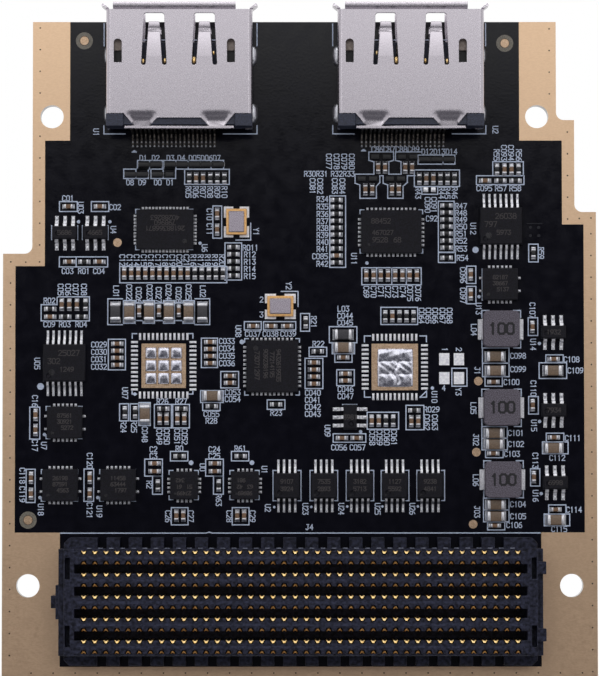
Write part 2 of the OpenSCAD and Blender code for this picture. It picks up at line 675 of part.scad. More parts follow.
notch_in = 0.4;
notch_w = 0.46;
notch_mouth_w = 0.8;
mezz_contact_w = 0.4;
mezz_contact_t = 0.2;
first_column = -(columns - 1) * mezz_pitch / 2;
first_rib = -(ribs - 1) * rib_pitch / 2;
rib_l = columns * mezz_pitch + 0.9;
floor_h = 1.4;
wall_drop = 0.3;

module at_mezz() {
    translate([mezz_x, rear_y + mezz_setback, 0]) children();
}

// A rib seen from above: a long bar with a notch on each side for every contact
module rib_plan() {
    half = rib_t / 2;
    in = half - notch_in;
    mouth = notch_mouth_w / 2;
    w = notch_w / 2;
    side = [for (i = [0:columns - 1], p = [[-mouth, half], [-w, in], [w, in], [mouth, half]])
        [first_column + i * mezz_pitch + p[0], p[1]]];
    back = [for (i = [len(side) - 1:-1:0]) [side[i][0], -side[i][1]]];
    start = [[-rib_l / 2, -half], [-rib_l / 2, half]];
    end = [[rib_l / 2, half], [rib_l / 2, -half]];
    polygon(concat(start, side, end, back));
}

module board_connector_body() {
    half_w = mezz_w / 2;
    half_d = mezz_depth / 2;
    slot_w = rib_pitch - rib_t;
    end_in = half_w - rib_l / 2;
    outer_face = rib_t / 2 - first_rib;
    color("#23242e")
    at_mezz() {
        for (i = [0:ribs - 1])
            translate([0, first_rib + i * rib_pitch, mezz_lift])
                linear_extrude(mezz_h - mezz_lift) rib_plan();
        for (i = [0:ribs - 2])
            translate([-rib_l / 2, first_rib + i * rib_pitch + rib_t / 2, mezz_lift])
                cube([rib_l, slot_w, floor_h - mezz_lift]);
        for (side = [-1, 1]) mirror([0, side < 0 ? 1 : 0, 0])
            translate([-rib_l / 2, outer_face, mezz_lift])
                cube([rib_l, half_d - outer_face, mezz_h - wall_drop - mezz_lift]);
        for (side = [-1, 1]) mirror([side < 0 ? 1 : 0, 0, 0]) end_wall(side, end_in);
        for (side = [-1, 1]) mirror([0, side < 0 ? 1 : 0, 0]) tabs();
    }
}

// One end of the connector: a thick wall with two pockets and a ledge, a stepped key on the left,
// and two bosses on the right
pocket_places = [-3.87, 3.87];
pocket_in = 1.35;
pocket_w = 0.55;
pocket_l = 2.45;
pocket_h = 1.4;
ledge_w = 0.65;
ledge_h = 0.9;
key_w = 0.35;
key_l = 3.9;
key_h = 4.85;
nib_w = 0.6;
nib_l = 1.44;
nib_h = 3.85;
boss_places = [-3.72, 3.92];
boss_w = 0.95;
boss_l = 1.45;
module end_wall(side, depth) {
    half_w = mezz_w / 2;
    half_d = mezz_depth / 2;
    difference() {
        translate([half_w - depth, -half_d, mezz_lift]) cube([depth, mezz_depth, mezz_h - mezz_lift]);
        for (y = pocket_places)
            translate([half_w - pocket_in, y - pocket_l / 2, mezz_h - pocket_h])
                cube([pocket_w, pocket_l, pocket_h + 1]);
        translate([half_w - ledge_w, -half_d - 1, mezz_h - ledge_h])
            cube([ledge_w + 1, mezz_depth + 2, ledge_h + 1]);
    }
    if (side < 0) {
        translate([half_w, -key_l / 2, mezz_lift]) cube([key_w, key_l, key_h]);
        translate([half_w + key_w, -nib_l / 2, mezz_lift]) cube([nib_w, nib_l, nib_h]);
    }
    if (side > 0)
        for (y = boss_places)
            translate([half_w - ledge_w, y - boss_l / 2, mezz_h - ledge_h]) cube([boss_w, boss_l, ledge_h]);
}

// The tabs along one long side, at the foot, with a long one at each end
tab_w = 1.52;
tab_h = 2.4;
end_tab_l = 3.85;
end_tab_in = 0.45;
module tabs() {
    half_d = mezz_depth / 2;
    end_x = mezz_w / 2 - end_tab_in;
    step = 2 * mezz_pitch;
    count = floor((2 * (end_x - end_tab_l) - step + tab_w) / step);
    for (i = [0:count - 1])
        translate([(i - (count - 1) / 2) * step - tab_w / 2, half_d, mezz_lift])
            cube([tab_w, tab_out, tab_h]);
    for (side = [-1, 1]) mirror([side < 0 ? 1 : 0, 0, 0])
        translate([0, 0, mezz_lift]) linear_extrude(tab_h) polygon([
            [end_x - end_tab_l, half_d], [end_x - end_tab_l, half_d + tab_out],
            [end_x - tab_out / 2, half_d + tab_out], [end_x, half_d + tab_out / 2], [end_x, half_d]
        ]);
}

// A contact seen from its side: a strip up the rib, with a bowed tip at the top
contact_drop = 0.15;
bow_h = 0.7;
module mezz_contact_profile() {
    t = mezz_contact_t;
    top = mezz_h - contact_drop;
    polygon([[0, 0], [t, 0], [t, top - 2 * bow_h], [notch_in - fit, top - bow_h], [t, top], [0, top]]);
}

module board_connector_contacts() {
    color("#d8a650")
    at_mezz()
    for (i = [0:ribs - 1], side = [-1, 1])
        translate([0, first_rib + i * rib_pitch, 0]) mirror([0, side < 0 ? 1 : 0, 0])
            for (c = [0:columns - 1])
                translate([first_column + c * mezz_pitch, rib_t / 2 - notch_in, 0])
                    across_x(mezz_contact_w) mezz_contact_profile();
}

// Chips

module at_chip(c) {
    translate([c[2][0] + c[3][0], c[2][1] + c[3][1], 0]) rotate(c[4]) children();
}

module leaning_hexagon(half, h, lean) {
    low = half - lean;
    polygon([[-low, 0], [low, 0], [half, h / 2], [low, h], [-low, h], [-half, h / 2]]);
}

// A moulded block whose four sides lean in above and below the parting line
module moulded_block(size, lean) {
    w = size[0] / 2;
    d = size[1] / 2;
    h = size[2];
    intersection() {
        across_x(size[0] + 1) leaning_hexagon(d, h, lean);
        along_y(-d - 0.5, d + 0.5) leaning_hexagon(w, h, lean);
    }
}

leaded_lift = 0.1;
mould_lean = 0.1;
dimple_in = 0.7;
dimple_r = 0.25;
dimple_h = 0.05;
module chip_body(c) {
    size = c[1][0];
    leaded = c[1][4] > 0;
    color("#26262b")
    at_chip(c)
    if (leaded)
        translate([0, 0, seat_z + leaded_lift]) difference() {
            moulded_block([size[0], size[1], size[2] - leaded_lift], mould_lean);
            translate([-size[0] / 2 + dimple_in, -size[1] / 2 + dimple_in, size[2] - leaded_lift - dimple_h])
                cylinder(r = dimple_r, h = 1);
        }
    else
        translate([-size[0] / 2, -size[1] / 2, seat_z]) cube(size);
}

// A formed lead seen from its side, from the chip's parting line out and down to its foot
module lead_profile(mid, reach) {
    t = lead_t;
    bend = reach * 0.45;
    polygon([
        [0, mid + t / 2], [bend, mid + t / 2], [bend + t * 0.4, t], [reach, t], [reach, 0],
        [bend - t * 0.9, 0], [bend - t * 0.6, mid - t / 2], [0, mid - t / 2]
    ]);
}

function lead_width(c) = c[1][3] > 0.9 ? 0.4 : fine_land_w;

// Places its children at every lead on the two long sides and the two short sides of a chip
module each_lead(c) {
    size = c[1][0];
    pitch = c[1][3];
    at_chip(c) {
        for (side = [-1, 1], i = [0:c[1][1] - 1]) mirror([0, side < 0 ? 1 : 0, 0])
            translate([(i - (c[1][1] - 1) / 2) * pitch, size[1] / 2, 0]) children();
        gap = c[1][2] == 2 ? 3 * pitch : pitch;
        if (c[1][2] > 0)
            for (side = [-1, 1], i = [0:c[1][2] - 1])
                rotate(-side * 90) translate([(i - (c[1][2] - 1) / 2) * gap, size[0] / 2, 0]) children();
    }
}

module formed_leads() {
    color("#b9b9bd")
    for (c = chips) if (c[1][4] > 0)
        each_lead(c) translate([0, 0, seat_z]) across_x(lead_width(c))
            lead_profile(leaded_lift + (c[1][0][2] - leaded_lift) / 2, c[1][4]);
}

flat_land_in = 0.3;
foot_land_out = 0.6;
module chip_lands(c) {
    w = lead_width(c);
    leaded = c[1][4] > 0;
    from = leaded ? c[1][4] * 0.35 : -flat_land_in;
    to = leaded ? c[1][4] + foot_land_out : flat_land_out;
    each_lead(c) translate([-w / 2, from, 0]) cube([w, to - from, plating_t]);
}

// Power coils

coil_corner = 0.35;
module power_coil(c) {
    cut = coil_corner;
    half = coil_w / 2;
    color("#57585e")
    translate([right_x + c[1][0], rear_y + c[1][1], seat_z + terminal_t]) linear_extrude(coil_h) polygon([
        [-half + cut, -half], [half - cut, -half], [half, -half + cut], [half, half - cut],
        [half - cut, half], [-half + cut, half], [-half, half - cut], [-half, -half + cut]
    ]);
}

terminal_t = 0.15;
terminal_w = 2.4;
terminal_out = 0.55;
terminal_in = 1.1;
terminal_share = 0.6;
module coil_terminals() {
    half = coil_w / 2;
    top = coil_h * terminal_share;
    color("#c6c6ca")
    for (c = coils) translate([right_x + c[1][0], rear_y + c[1][1], seat_z])
        for (side = [-1, 1]) mirror([side < 0 ? 1 : 0, 0, 0])
            translate([0, terminal_w / 2, 0]) rotate([90, 0, 0]) linear_extrude(terminal_w) polygon([
                [half - terminal_in, 0], [half + terminal_out, 0], [half + terminal_out, terminal_t],
                [half + terminal_t, terminal_t], [half + terminal_t, top], [half, top],
                [half, terminal_t], [half - terminal_in, terminal_t]
            ]);
}

// Crystals

case_h = 0.55;
lid_in = 0.3;
lid_t = 0.2;
module at_crystal(c) {
    translate([c[1][0] + c[2][0], c[1][1] + c[2][1], 0]) rotate(c[3]) children();
}

module crystal_case(c) {
    color("#c79a50")
    at_crystal(c) translate([-crystal_l / 2, -crystal_w / 2, seat_z]) cube([crystal_l, crystal_w, case_h]);
}

module crystal_lid(c) {
    color("#c4bdb4")
    at_crystal(c) translate([-crystal_l / 2 + lid_in, -crystal_w / 2 + lid_in, seat_z + case_h])
        cube([crystal_l - 2 * lid_in, crystal_w - 2 * lid_in, lid_t]);
}

// Two-ended parts

// Places its children at every part of one kind
module each_of(kind) {
    for (r = rows) if (r[0] == kind)
        for (i = [0:r[4] - 1])
            translate([r[1][0] + r[2][0] + i * r[3][0], r[1][1] + r[2][1] + i * r[3][1], 0])
                rotate(r[5]) children();
}

module middle_block(l, w, h, end_l) {
    translate([-l / 2 + end_l, -w / 2, seat_z]) cube([l - 2 * end_l, w, h]);
}

module end_blocks(l, w, h, end_l) {
    for (x = [-l / 2, l / 2 - end_l]) translate([x, -w / 2, seat_z]) cube([end_l, w, h]);
}

small_end = 0.24;
large_end = 0.4;
diode_h = 0.4;
module capacitor_bodies() {
    color("#80654f") each_of("C") middle_block(small_l, small_w, small_cap_h, small_end);
}
module capacitor_ends() {
    color("#c3c3c6") each_of("C") end_blocks(small_l, small_w, small_cap_h, small_end);
}
module resistor_bodies() {
    color("#1b1b1f") each_of("R") middle_block(small_l, small_w, resistor_h, small_end);
}
module resistor_ends() {
    color("#c3c3c6") each_of("R") end_blocks(small_l, small_w, resistor_h, small_end);
}
module large_capacitor_bodies() {
    color("#80654f") each_of("B") middle_block(large_l, large_w, large_cap_h, large_end);
}
module large_capacitor_ends() {
    color("#c3c3c6") each_of("B") end_blocks(large_l, large_w, large_cap_h, large_end);
}
module filter_coil_bodies() {
    color("#3a3b40") each_of("F") middle_block(large_l, large_w, large_cap_h, large_end);
}
module filter_coil_ends() {
    color("#c3c3c6") each_of("F") end_blocks(large_l, large_w, large_cap_h, large_end);
}
module diode_bodies() {
    color("#1b1b1f") each_of("D") middle_block(small_l, small_w, diode_h, small_end);
}
module diode_ends() {
    color("#c3c3c6") each_of("D") end_blocks(small_l, small_w, diode_h, small_end);
}

// Lands, empty places and test points

module flat_land(x, y, w, l) {
    translate([x - w / 2, y - l / 2, 0]) cube([w, l, plating_t]);
}

two_land_in = 0.3;
two_land_l = 0.52;
module two_lands(l, w) {
    for (side = [-1, 1]) flat_land(side * (l / 2 - two_land_in + two_land_l / 2), 0, two_land_l, w);
}

empty_pitch = 0.5;
empty_land_l = 0.8;
module empty_chip_lands(p) {
    translate([p[0][0], rear_y + p[0][1], 0])
        for (turn = [0, 90, 180, 270], i = [0:p[1] - 1])
            rotate(turn) flat_land((i - (p[1] - 1) / 2) * empty_pitch, p[2], fine_land_w, empty_land_l);
}

empty_crystal = [17.65, 36];
empty_crystal_land = [1.2, 1.4];
empty_crystal_step = [1.7, 2.2];
module empty_crystal_lands() {
    for (x = [-0.5, 0.5], y = [-0.5, 0.5])
        translate([empty_crystal[0], rear_y + empty_crystal[1], 0])
            flat_land(x * empty_crystal_step[0], y * empty_crystal_step[1],
                empty_crystal_land[0], empty_crystal_land[1]);
}

crystal_land = [1.3, 1.1];
crystal_land_out = 0.27;
module crystal_lands() {
    x = crystal_l / 2 + crystal_land_out - crystal_land[0] / 2;
    y = crystal_w / 2 + crystal_land_out - crystal_land[1] / 2;
    for (c = crystals, i = [-1, 1], j = [-1, 1])
        at_crystal(c) flat_land(i * x, j * y, crystal_land[0], crystal_land[1]);
}

module solder_lands() {
    color("#b4b2b0") {
        for (c = chips) chip_lands(c);
        for (p = empty_places) empty_chip_lands(p);
        empty_crystal_lands();
        crystal_lands();
        for (kind = ["C", "R", "D"]) each_of(kind) two_lands(small_l, small_w);
        for (kind = ["B", "F"]) each_of(kind) two_lands(large_l, large_w);
        for (c = coils) translate([right_x + c[1][0], rear_y + c[1][1], 0])
            two_lands(coil_w + terminal_out, terminal_w);
        for (x = [left_socket_x, right_socket_x]) at_socket(x) tail_lands();
    }
}

tail_land_l = 0.9;
tail_land_out = 0.1;
module tail_lands() {
    span = (2 * socket_contacts_per_row - 1) * socket_pitch;
    y = shell_reach + tail_l + tail_land_out - tail_land_l / 2;
    for (i = [0:2 * socket_contacts_per_row - 1])
        flat_land(contact_shift - span / 2 + i * socket_pitch, y, socket_contact_w, tail_land_l);
}

// Round bare pads, each with its anchor: three sighting marks and a few test points
marks = [[REAR_LEFT, [3, 18.45]], [FRONT_LEFT, [9.4, -2.2]], [FRONT_RIGHT, [-10.55, -2.5]]];
test_places = [
    [LEFT_SOCKET, [-7.35, -25.8]], [REAR_RIGHT, [-13.75, 34.55]],
    [REAR_RIGHT, [-14, 26.3]], [REAR_RIGHT, [-14.4, 17.95]]
];
test_point_r = 0.5;
module test_points() {
    color("#d9b98c")
    for (p = concat(marks, test_places))
        translate([p[0][0] + p[1][0], p[0][1] + p[1][1], 0]) cylinder(r = test_point_r, h = plating_t);
}

module thermal_pads() {
    color("#d2a45f")
    for (p = empty_places)
        translate([p[0][0] - p[3] / 2, rear_y + p[0][1] - p[3] / 2, 0]) cube([p[3], p[3], plating_t]);
}

// Solder left on the two empty plated pads: nine pillows, and one wide pool
pillow_w = 1.15;
pillow_step = 1.48;
pillow_r = 2.2;
pillow_h = 0.22;
pool_size = [3, 4];
pool_h = 0.16;
pool_lobe_r = 0.85;
pool_lobes = [
    [-1.1, 1.2], [0.3, 1.3], [1.2, 1.1], [-1.2, -0.2], [1.2, 0.1], [-0.8, -1.3], [0.5, -1.5], [1.3, -1.2]
];
module solder_pools() {
    left = empty_places[0][0];
    right = empty_places[1][0];
    color("#c9cbd1") translate([0, 0, seat_z]) {
        for (i = [-1:1], j = [-1:1])
            translate([left[0] + i * pillow_step, rear_y + left[1] + j * pillow_step, 0]) intersection() {
                translate([-pillow_w / 2, -pillow_w / 2, 0]) cube([pillow_w, pillow_w, 1]);
                translate([0, 0, pillow_h - pillow_r]) sphere(pillow_r);
            }
        translate([right[0], rear_y + right[1], 0]) linear_extrude(pool_h) {
            square(pool_size, center = true);
            for (p = pool_lobes) translate(p) circle(pool_lobe_r);
        }
    }
}

circuit_board();
top_ground_plating();
under_ground_plating();
solder_lands();
test_points();
at_socket(left_socket_x) socket_shell();  // left_socket_shell
at_socket(left_socket_x) socket_housing();  // left_socket_housing
at_socket(left_socket_x) socket_contacts();  // left_socket_contacts
at_socket(right_socket_x) socket_shell();  // right_socket_shell
at_socket(right_socket_x) socket_housing();  // right_socket_housing
at_socket(right_socket_x) socket_contacts();  // right_socket_contacts
socket_solder();
board_connector_body();
board_connector_contacts();
for (c = chips)
    chip_body(c);
formed_leads();
for (c = coils)
    power_coil(c);
coil_terminals();
for (c = crystals) {
    crystal_case(c);
    crystal_lid(c);
}
capacitor_bodies();
capacitor_ends();
resistor_bodies();
resistor_ends();
large_capacitor_bodies();
large_capacitor_ends();
filter_coil_bodies();
filter_coil_ends();
diode_bodies();
diode_ends();
thermal_pads();
solder_pools();
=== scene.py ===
# %% [markdown]
# The real object is a small plug-in card: a black circuit board with two video sockets in front, a wide
# board connector at the rear, and some 300 soldered parts between them. The CAD frame brings its solids.
# This lesson dresses them. The same few shapes come back hundreds of times, so each one is worked out once
# as an array of points. All lengths are in millimetres until they are put into a mesh, which wants metres.

# %% Load the frame
import math
import bmesh
import bpy
import numpy as np
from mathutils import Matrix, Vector


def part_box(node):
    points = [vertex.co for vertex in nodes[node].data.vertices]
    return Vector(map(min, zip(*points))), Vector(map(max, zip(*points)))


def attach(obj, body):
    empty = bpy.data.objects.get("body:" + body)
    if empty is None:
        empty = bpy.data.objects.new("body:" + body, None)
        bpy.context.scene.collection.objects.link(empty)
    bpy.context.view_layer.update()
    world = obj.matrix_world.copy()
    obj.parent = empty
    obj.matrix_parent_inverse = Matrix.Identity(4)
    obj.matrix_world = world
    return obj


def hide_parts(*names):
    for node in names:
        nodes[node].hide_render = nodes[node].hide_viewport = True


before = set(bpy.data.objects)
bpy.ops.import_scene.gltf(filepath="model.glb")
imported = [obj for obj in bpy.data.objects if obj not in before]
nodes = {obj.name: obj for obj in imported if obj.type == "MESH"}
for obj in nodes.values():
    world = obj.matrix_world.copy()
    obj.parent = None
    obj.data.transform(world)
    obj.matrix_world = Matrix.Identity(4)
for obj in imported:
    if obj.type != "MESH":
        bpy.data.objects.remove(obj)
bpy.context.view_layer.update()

MM = 0.001
print("nodes:", len(nodes))

# %% [markdown]
# The photograph looks almost straight down from about 40 cm, with the card's rear edge a little nearer.
# A camera can be placed by eye, or solved from points whose real places are known. This one was fitted to
# the standoff holes, the board's corners and the connector's rows of contacts, because their spacing is
# standard, so a millimetre of the model falls on the same pixel as in the photograph.

# %% Camera
# The place in metres, and the tilt in degrees
CAMERA_PLACE = (-0.00115, 0.00986, 0.4)
CAMERA_TILT = (2.7, -0.16, -0.03)
camera_data = bpy.data.cameras.new("camera")
camera_data.sensor_fit = "VERTICAL"
camera_data.sensor_height = 36
camera_data.lens = 183.46
camera_data.clip_start = 0.01
camera = bpy.data.objects.new("camera", camera_data)
camera.location = CAMERA_PLACE
camera.rotation_euler = [math.radians(angle) for angle in CAMERA_TILT]
bpy.context.collection.objects.link(camera)
bpy.context.scene.camera = camera
print("camera", camera.location.z, "m up with a lens of", camera_data.lens)

# %% [markdown]
# Bare metal shows what it mirrors, so the lamps decide how the shells and the gold border look. A broad
# soft lamp hangs ahead of the sockets: flat metal shines in front and dims to the rear, as in the photo.
# Two wide lamps at the sides light the ink and the plastic without showing in the flat metal, and two
# weaker ones fill in from far ahead and from behind. Small lamps would give hard shadows, so all are
# large, and each is given by the brightness of its face.

# %% Lamps and world
def soft_lamp(name, place, target, width, depth, radiance):
    """A flat lamp that faces its target. Power is radiance times pi times its area."""
    lamp = bpy.data.lights.new(name, "AREA")
    lamp.shape = "RECTANGLE"
    lamp.size = width
    lamp.size_y = depth
    lamp.energy = radiance * math.pi * width * depth
    holder = bpy.data.objects.new(name, lamp)
    holder.location = place
    aim = Vector(target) - Vector(place)
    holder.rotation_euler = aim.to_track_quat("-Z", "Y").to_euler()
    bpy.context.collection.objects.link(holder)
    print(name, "power:", round(lamp.energy, 3))


# Name, place, target, width, depth and radiance, in metres
soft_lamp("front_lamp", (0, 0.3, 0.62), (0, 0.06, 0), 0.6, 0.34, 1.35)
soft_lamp("left_lamp", (-0.7, 0.2, 0.45), (0, 0.06, 0), 1.0, 1.6, 0.66)
soft_lamp("right_lamp", (0.7, 0.2, 0.45), (0, 0.06, 0), 1.0, 1.6, 0.62)
soft_lamp("far_lamp", (0, 0.7, 0.3), (0, 0.02, 0), 0.7, 0.3, 2.5)
soft_lamp("rear_lamp", (0, -0.55, 0.42), (0, 0.02, 0), 0.6, 0.25, 0.9)

world = bpy.data.worlds.new("room")
world.use_nodes = True
room = world.node_tree.nodes["Background"]
room.inputs["Color"].default_value = (0.09, 0.09, 0.105, 1)
room.inputs["Strength"].default_value = 1
bpy.context.scene.world = world
bpy.context.scene.view_settings.view_transform = "Standard"

# %% [markdown]
# The background of the photograph is pure white, also where it shows through the holes. A pale floor
# would turn white under more light, but the board would bleach with it. So the floor glows for the rays
# that come from the camera or off shiny metal, where a strength of 1 is white, and it is plain pale paint
# for every other ray, which keeps the soft shadow. The Light Path node tells these rays apart.

# %% Floor
def tone(red, green, blue):
    """A colour as a screen shows it, from 0 to 255, turned into the linear colour that a shader wants: the
    share of 255 plus 0.055, divided by 1.055, to the power 2.4. Nearly black shares are divided by 12.92."""
    shown = np.array([red, green, blue]) / 255
    linear = np.where(shown < 0.04045, shown / 12.92, ((shown + 0.055) / 1.055) ** 2.4)
    return (*linear.tolist(), 1.0)


def link(tree, source, output, target, socket):
    """Joins an output of one shader node to an input of another."""
    tree.links.new(source.outputs[output], target.inputs[socket])


def floor_paint():
    """Paint mixed with glow. The share of the glow is 1 for camera and glossy rays, and 0 for others."""
    material = bpy.data.materials.new("floor_paint")
    material.use_nodes = True
    tree = material.node_tree
    paint = tree.nodes["Principled BSDF"]
    paint.inputs["Base Color"].default_value = tone(235, 235, 238)
    paint.inputs["Roughness"].default_value = 0.9
    glow = tree.nodes.new("ShaderNodeEmission")
    glow.inputs["Color"].default_value = (1, 1, 1, 1)
    ray = tree.nodes.new("ShaderNodeLightPath")
    either = tree.nodes.new("ShaderNodeMath")
    either.operation = "MAXIMUM"
    link(tree, ray, "Is Camera Ray", either, 0)
    link(tree, ray, "Is Glossy Ray", either, 1)
    choice = tree.nodes.new("ShaderNodeMixShader")
    link(tree, either, 0, choice, 0)
    link(tree, paint, 0, choice, 1)
    link(tree, glow, 0, choice, 2)
    link(tree, choice, 0, tree.nodes["Material Output"], "Surface")
    return material


# The floor lies just under the sockets' legs, and reaches 1.5 m each way
FLOOR_Z = -2.15 * MM
FLOOR_REACH = 1.5
floor_mesh = bpy.data.meshes.new("floor")
floor_mesh.from_pydata([(x * FLOOR_REACH, y * FLOOR_REACH, FLOOR_Z)
                        for x, y in ((-1, -1), (1, -1), (1, 1), (-1, 1))], [], [(0, 1, 2, 3)])
floor_mesh.materials.append(floor_paint())
floor = bpy.data.objects.new("floor", floor_mesh)
bpy.context.collection.objects.link(floor)
print("floor at", FLOOR_Z, "m")

# %% [markdown]
# No surface of the card is one flat colour. Ceramic is speckled, tin is cloudy, moulded plastic is grained.
# Image textures could show that, but noise in the shader has no seams and stays sharp in close views. One
# recipe makes all finishes: noise mixes two tones and moves the roughness, and a finer noise gives the
# bump. Random Per Island tells loose solids in one mesh apart, so no two capacitors look quite alike.

# %% One recipe for the finishes
# Between these values of the noise the tones mix, and between those the roughness changes
TONES_MIX = (0.36, 0.64)
WEAR_MIX = (0.3, 0.7)


def grain_noise(tree, turn, grain, detail):
    """Noise whose marks are about grain mm wide: its scale is 1 divided by the grain in metres."""
    cloud = tree.nodes.new("ShaderNodeTexNoise")
    cloud.inputs["Scale"].default_value = 1 / (grain * MM)
    cloud.inputs["Detail"].default_value = detail
    link(tree, turn, "Vector", cloud, "Vector")
    return cloud


def stretched(tree, source, output, old_range, new_range):
    """A value moved from one range to another along a straight line, and kept inside it."""
    ruler = tree.nodes.new("ShaderNodeMapRange")
    for socket, value in zip(("From Min", "From Max", "To Min", "To Max"), (*old_range, *new_range)):
        ruler.inputs[socket].default_value = value
    link(tree, source, output, ruler, "Value")
    return ruler


def finish(name, dark, light, grain, rough, metal=0.0, bump=0.0, bump_grain=0.0, stretch=(1, 1, 1),
           tint=0.0, specular=0.5):
    """A shader with its colour between two tones, mixed by noise whose marks are grain mm wide.
    rough is the lowest and highest roughness, bump the depth of the grain in mm,
    and tint how far each loose solid may be darker than its neighbours."""
    material = bpy.data.materials.new(name)
    material.use_nodes = True
    tree = material.node_tree
    shader = tree.nodes["Principled BSDF"]
    shader.inputs["Metallic"].default_value = metal
    shader.inputs["Specular IOR Level"].default_value = specular
    where = tree.nodes.new("ShaderNodeTexCoord")
    turn = tree.nodes.new("ShaderNodeMapping")
    turn.inputs["Scale"].default_value = stretch
    link(tree, where, "Object", turn, "Vector")
    cloud = grain_noise(tree, turn, grain, 3)
    colour = tree.nodes.new("ShaderNodeValToRGB")
    for stop, place, shown in zip(colour.color_ramp.elements, TONES_MIX, (dark, light)):
        stop.position = place
        stop.color = shown
    link(tree, cloud, "Fac", colour, "Fac")
    if tint > 0:
        body = tree.nodes.new("ShaderNodeNewGeometry")
        shade = stretched(tree, body, "Random Per Island", (0, 1), (1 - tint, 1))
        dim = tree.nodes.new("ShaderNodeVectorMath")
        dim.operation = "SCALE"
        link(tree, colour, "Color", dim, 0)
        link(tree, shade, "Result", dim, "Scale")
        colour = dim
    link(tree, colour, 0, shader, "Base Color")
    wear = stretched(tree, cloud, "Fac", WEAR_MIX, rough)
    link(tree, wear, "Result", shader, "Roughness")
    if bump > 0:
        pits = grain_noise(tree, turn, bump_grain, 2)
        lift = tree.nodes.new("ShaderNodeBump")
        lift.inputs["Distance"].default_value = bump * MM
        link(tree, pits, "Fac", lift, "Height")
        link(tree, lift, "Normal", shader, "Normal")
    print("finish:", name)
    return material


# %% [markdown]
# A CAD node may hold hundreds of solids, such as all small capacitors, as one mesh of loose triangles.
# Blender could separate it by loose parts, but that makes hundreds of objects and takes long. Here the
# equal corners are merged in an array, and labels spread from triangle to triangle until nothing changes.
# That gives every solid's box at once, and the box says where a finer shape has to stand.

# %% Solids of a node
def corners_of(name):
    """Merged corners in mm, and the triangles that join them. Corners are the same if their places
    agree when rounded to four digits."""
    mesh = nodes[name].data
    places = np.empty(len(mesh.vertices) * 3)
    mesh.vertices.foreach_get("co", places)
    joins = np.empty(len(mesh.loops), dtype=int)
    mesh.loops.foreach_get("vertex_index", joins)
    grid = np.round(places.reshape(-1, 3) / MM, 4)
    merged, number = np.unique(grid, axis=0, return_inverse=True)
    return merged, number.reshape(-1)[joins].reshape(-1, 3)


def solids_of(name):
    """The lowest and highest corner of each solid of a node, in mm. Every corner takes the least label
    of its triangles, then its label's own label, until all corners of a solid share one."""
    merged, triangles = corners_of(name)
    label = np.arange(len(merged))
    while True:
        least = label[triangles].min(axis=1)
        spread = label.copy()
        for corner in range(3):
            np.minimum.at(spread, triangles[:, corner], least)
        spread = spread[spread]
        if np.array_equal(spread, label):
            break
        label = spread
    kinds, group = np.unique(label, return_inverse=True)
    low = np.full((len(kinds), 3), np.inf)
    high = np.full((len(kinds), 3), -np.inf)
    np.minimum.at(low, group, merged)
    np.maximum.at(high, group, merged)
    return low, high


print("solids among the lands:", len(solids_of("solder_lands")[0]))

# %% [markdown]
# Every new piece is a mesh whose place is in its points, so its object stays at the origin, as the CAD
# nodes do. It rides on the root body, since nothing on the card moves. A repeated part could be an
# instance of one object, but here all copies go into one mesh: a shape is a pair, an array of points and
# the faces that join them, and its points are turned, stretched and moved to every place at once.

# %% Pieces and repeated shapes
def add_piece(name, shape, material, slot, replaced=(), smooth=True):
    """Makes a mesh of a shape, with its finish, and hides the nodes that it stands for. A shape is its points
    in mm and a list of arrays, each with one face in a row."""
    points, faces = shape
    mesh = bpy.data.meshes.new(name)
    flat = []
    for group in faces:
        flat.extend(group.tolist())
    mesh.from_pydata((points * MM).tolist(), [], flat)
    mesh.materials.append(material)
    if smooth:
        mesh.shade_smooth()
    piece = bpy.data.objects.new(name, mesh)
    bpy.context.collection.objects.link(piece)
    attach(piece, "root")
    if replaced:
        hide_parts(*replaced)
    print(name, "faces:", len(flat))
    return piece


def repeated(shape, at, facing, size):
    """Copies a shape to many places. A point lands at the place, plus its X times the length along
    facing, plus its Y times the width across it, plus its Z times the height."""
    pattern, faces = shape
    count = len(at)
    facing = np.broadcast_to(np.asarray(facing, dtype=float), (count, 2))
    size = np.broadcast_to(size, (count, 3))
    along = np.c_[facing, np.zeros(count)]
    across = np.c_[-facing[:, 1], facing[:, 0], np.zeros(count)]
    up = np.tile([0.0, 0.0, 1.0], (count, 1))
    axes = np.stack([along, across, up], axis=1)
    points = at[:, None] + np.einsum("nvk,nkj->nvj", pattern[None] * size[:, None], axes)
    shift = np.arange(count)[:, None, None] * len(pattern)
    moved = [(group[None] + shift).reshape(-1, group.shape[1]) for group in faces]
    return points.reshape(-1, 3), moved


def grid_faces(rows, columns, closed=False):
    """Quads of a grid of points, numbered row by row. A closed grid joins its last column to its first."""
    row, column = np.meshgrid(np.arange(rows - 1), np.arange(columns if closed else columns - 1),
                              indexing="ij")
    after = (column + 1) % columns
    return np.stack([row * columns + column, row * columns + after,
                     (row + 1) * columns + after, (row + 1) * columns + column], axis=-1).reshape(-1, 4)


# %% [markdown]
# Ceramic bodies and their metal ends are small blocks with rounded edges, and the light that runs along
# these edges makes them look real. A cube with a Bevel modifier would do for one block. For hundreds, one
# pattern of points is worked out instead: each point knows the corner it belongs to and the direction in
# which it stands out by the radius, as on a ball, so blocks of any size keep the same round edge.

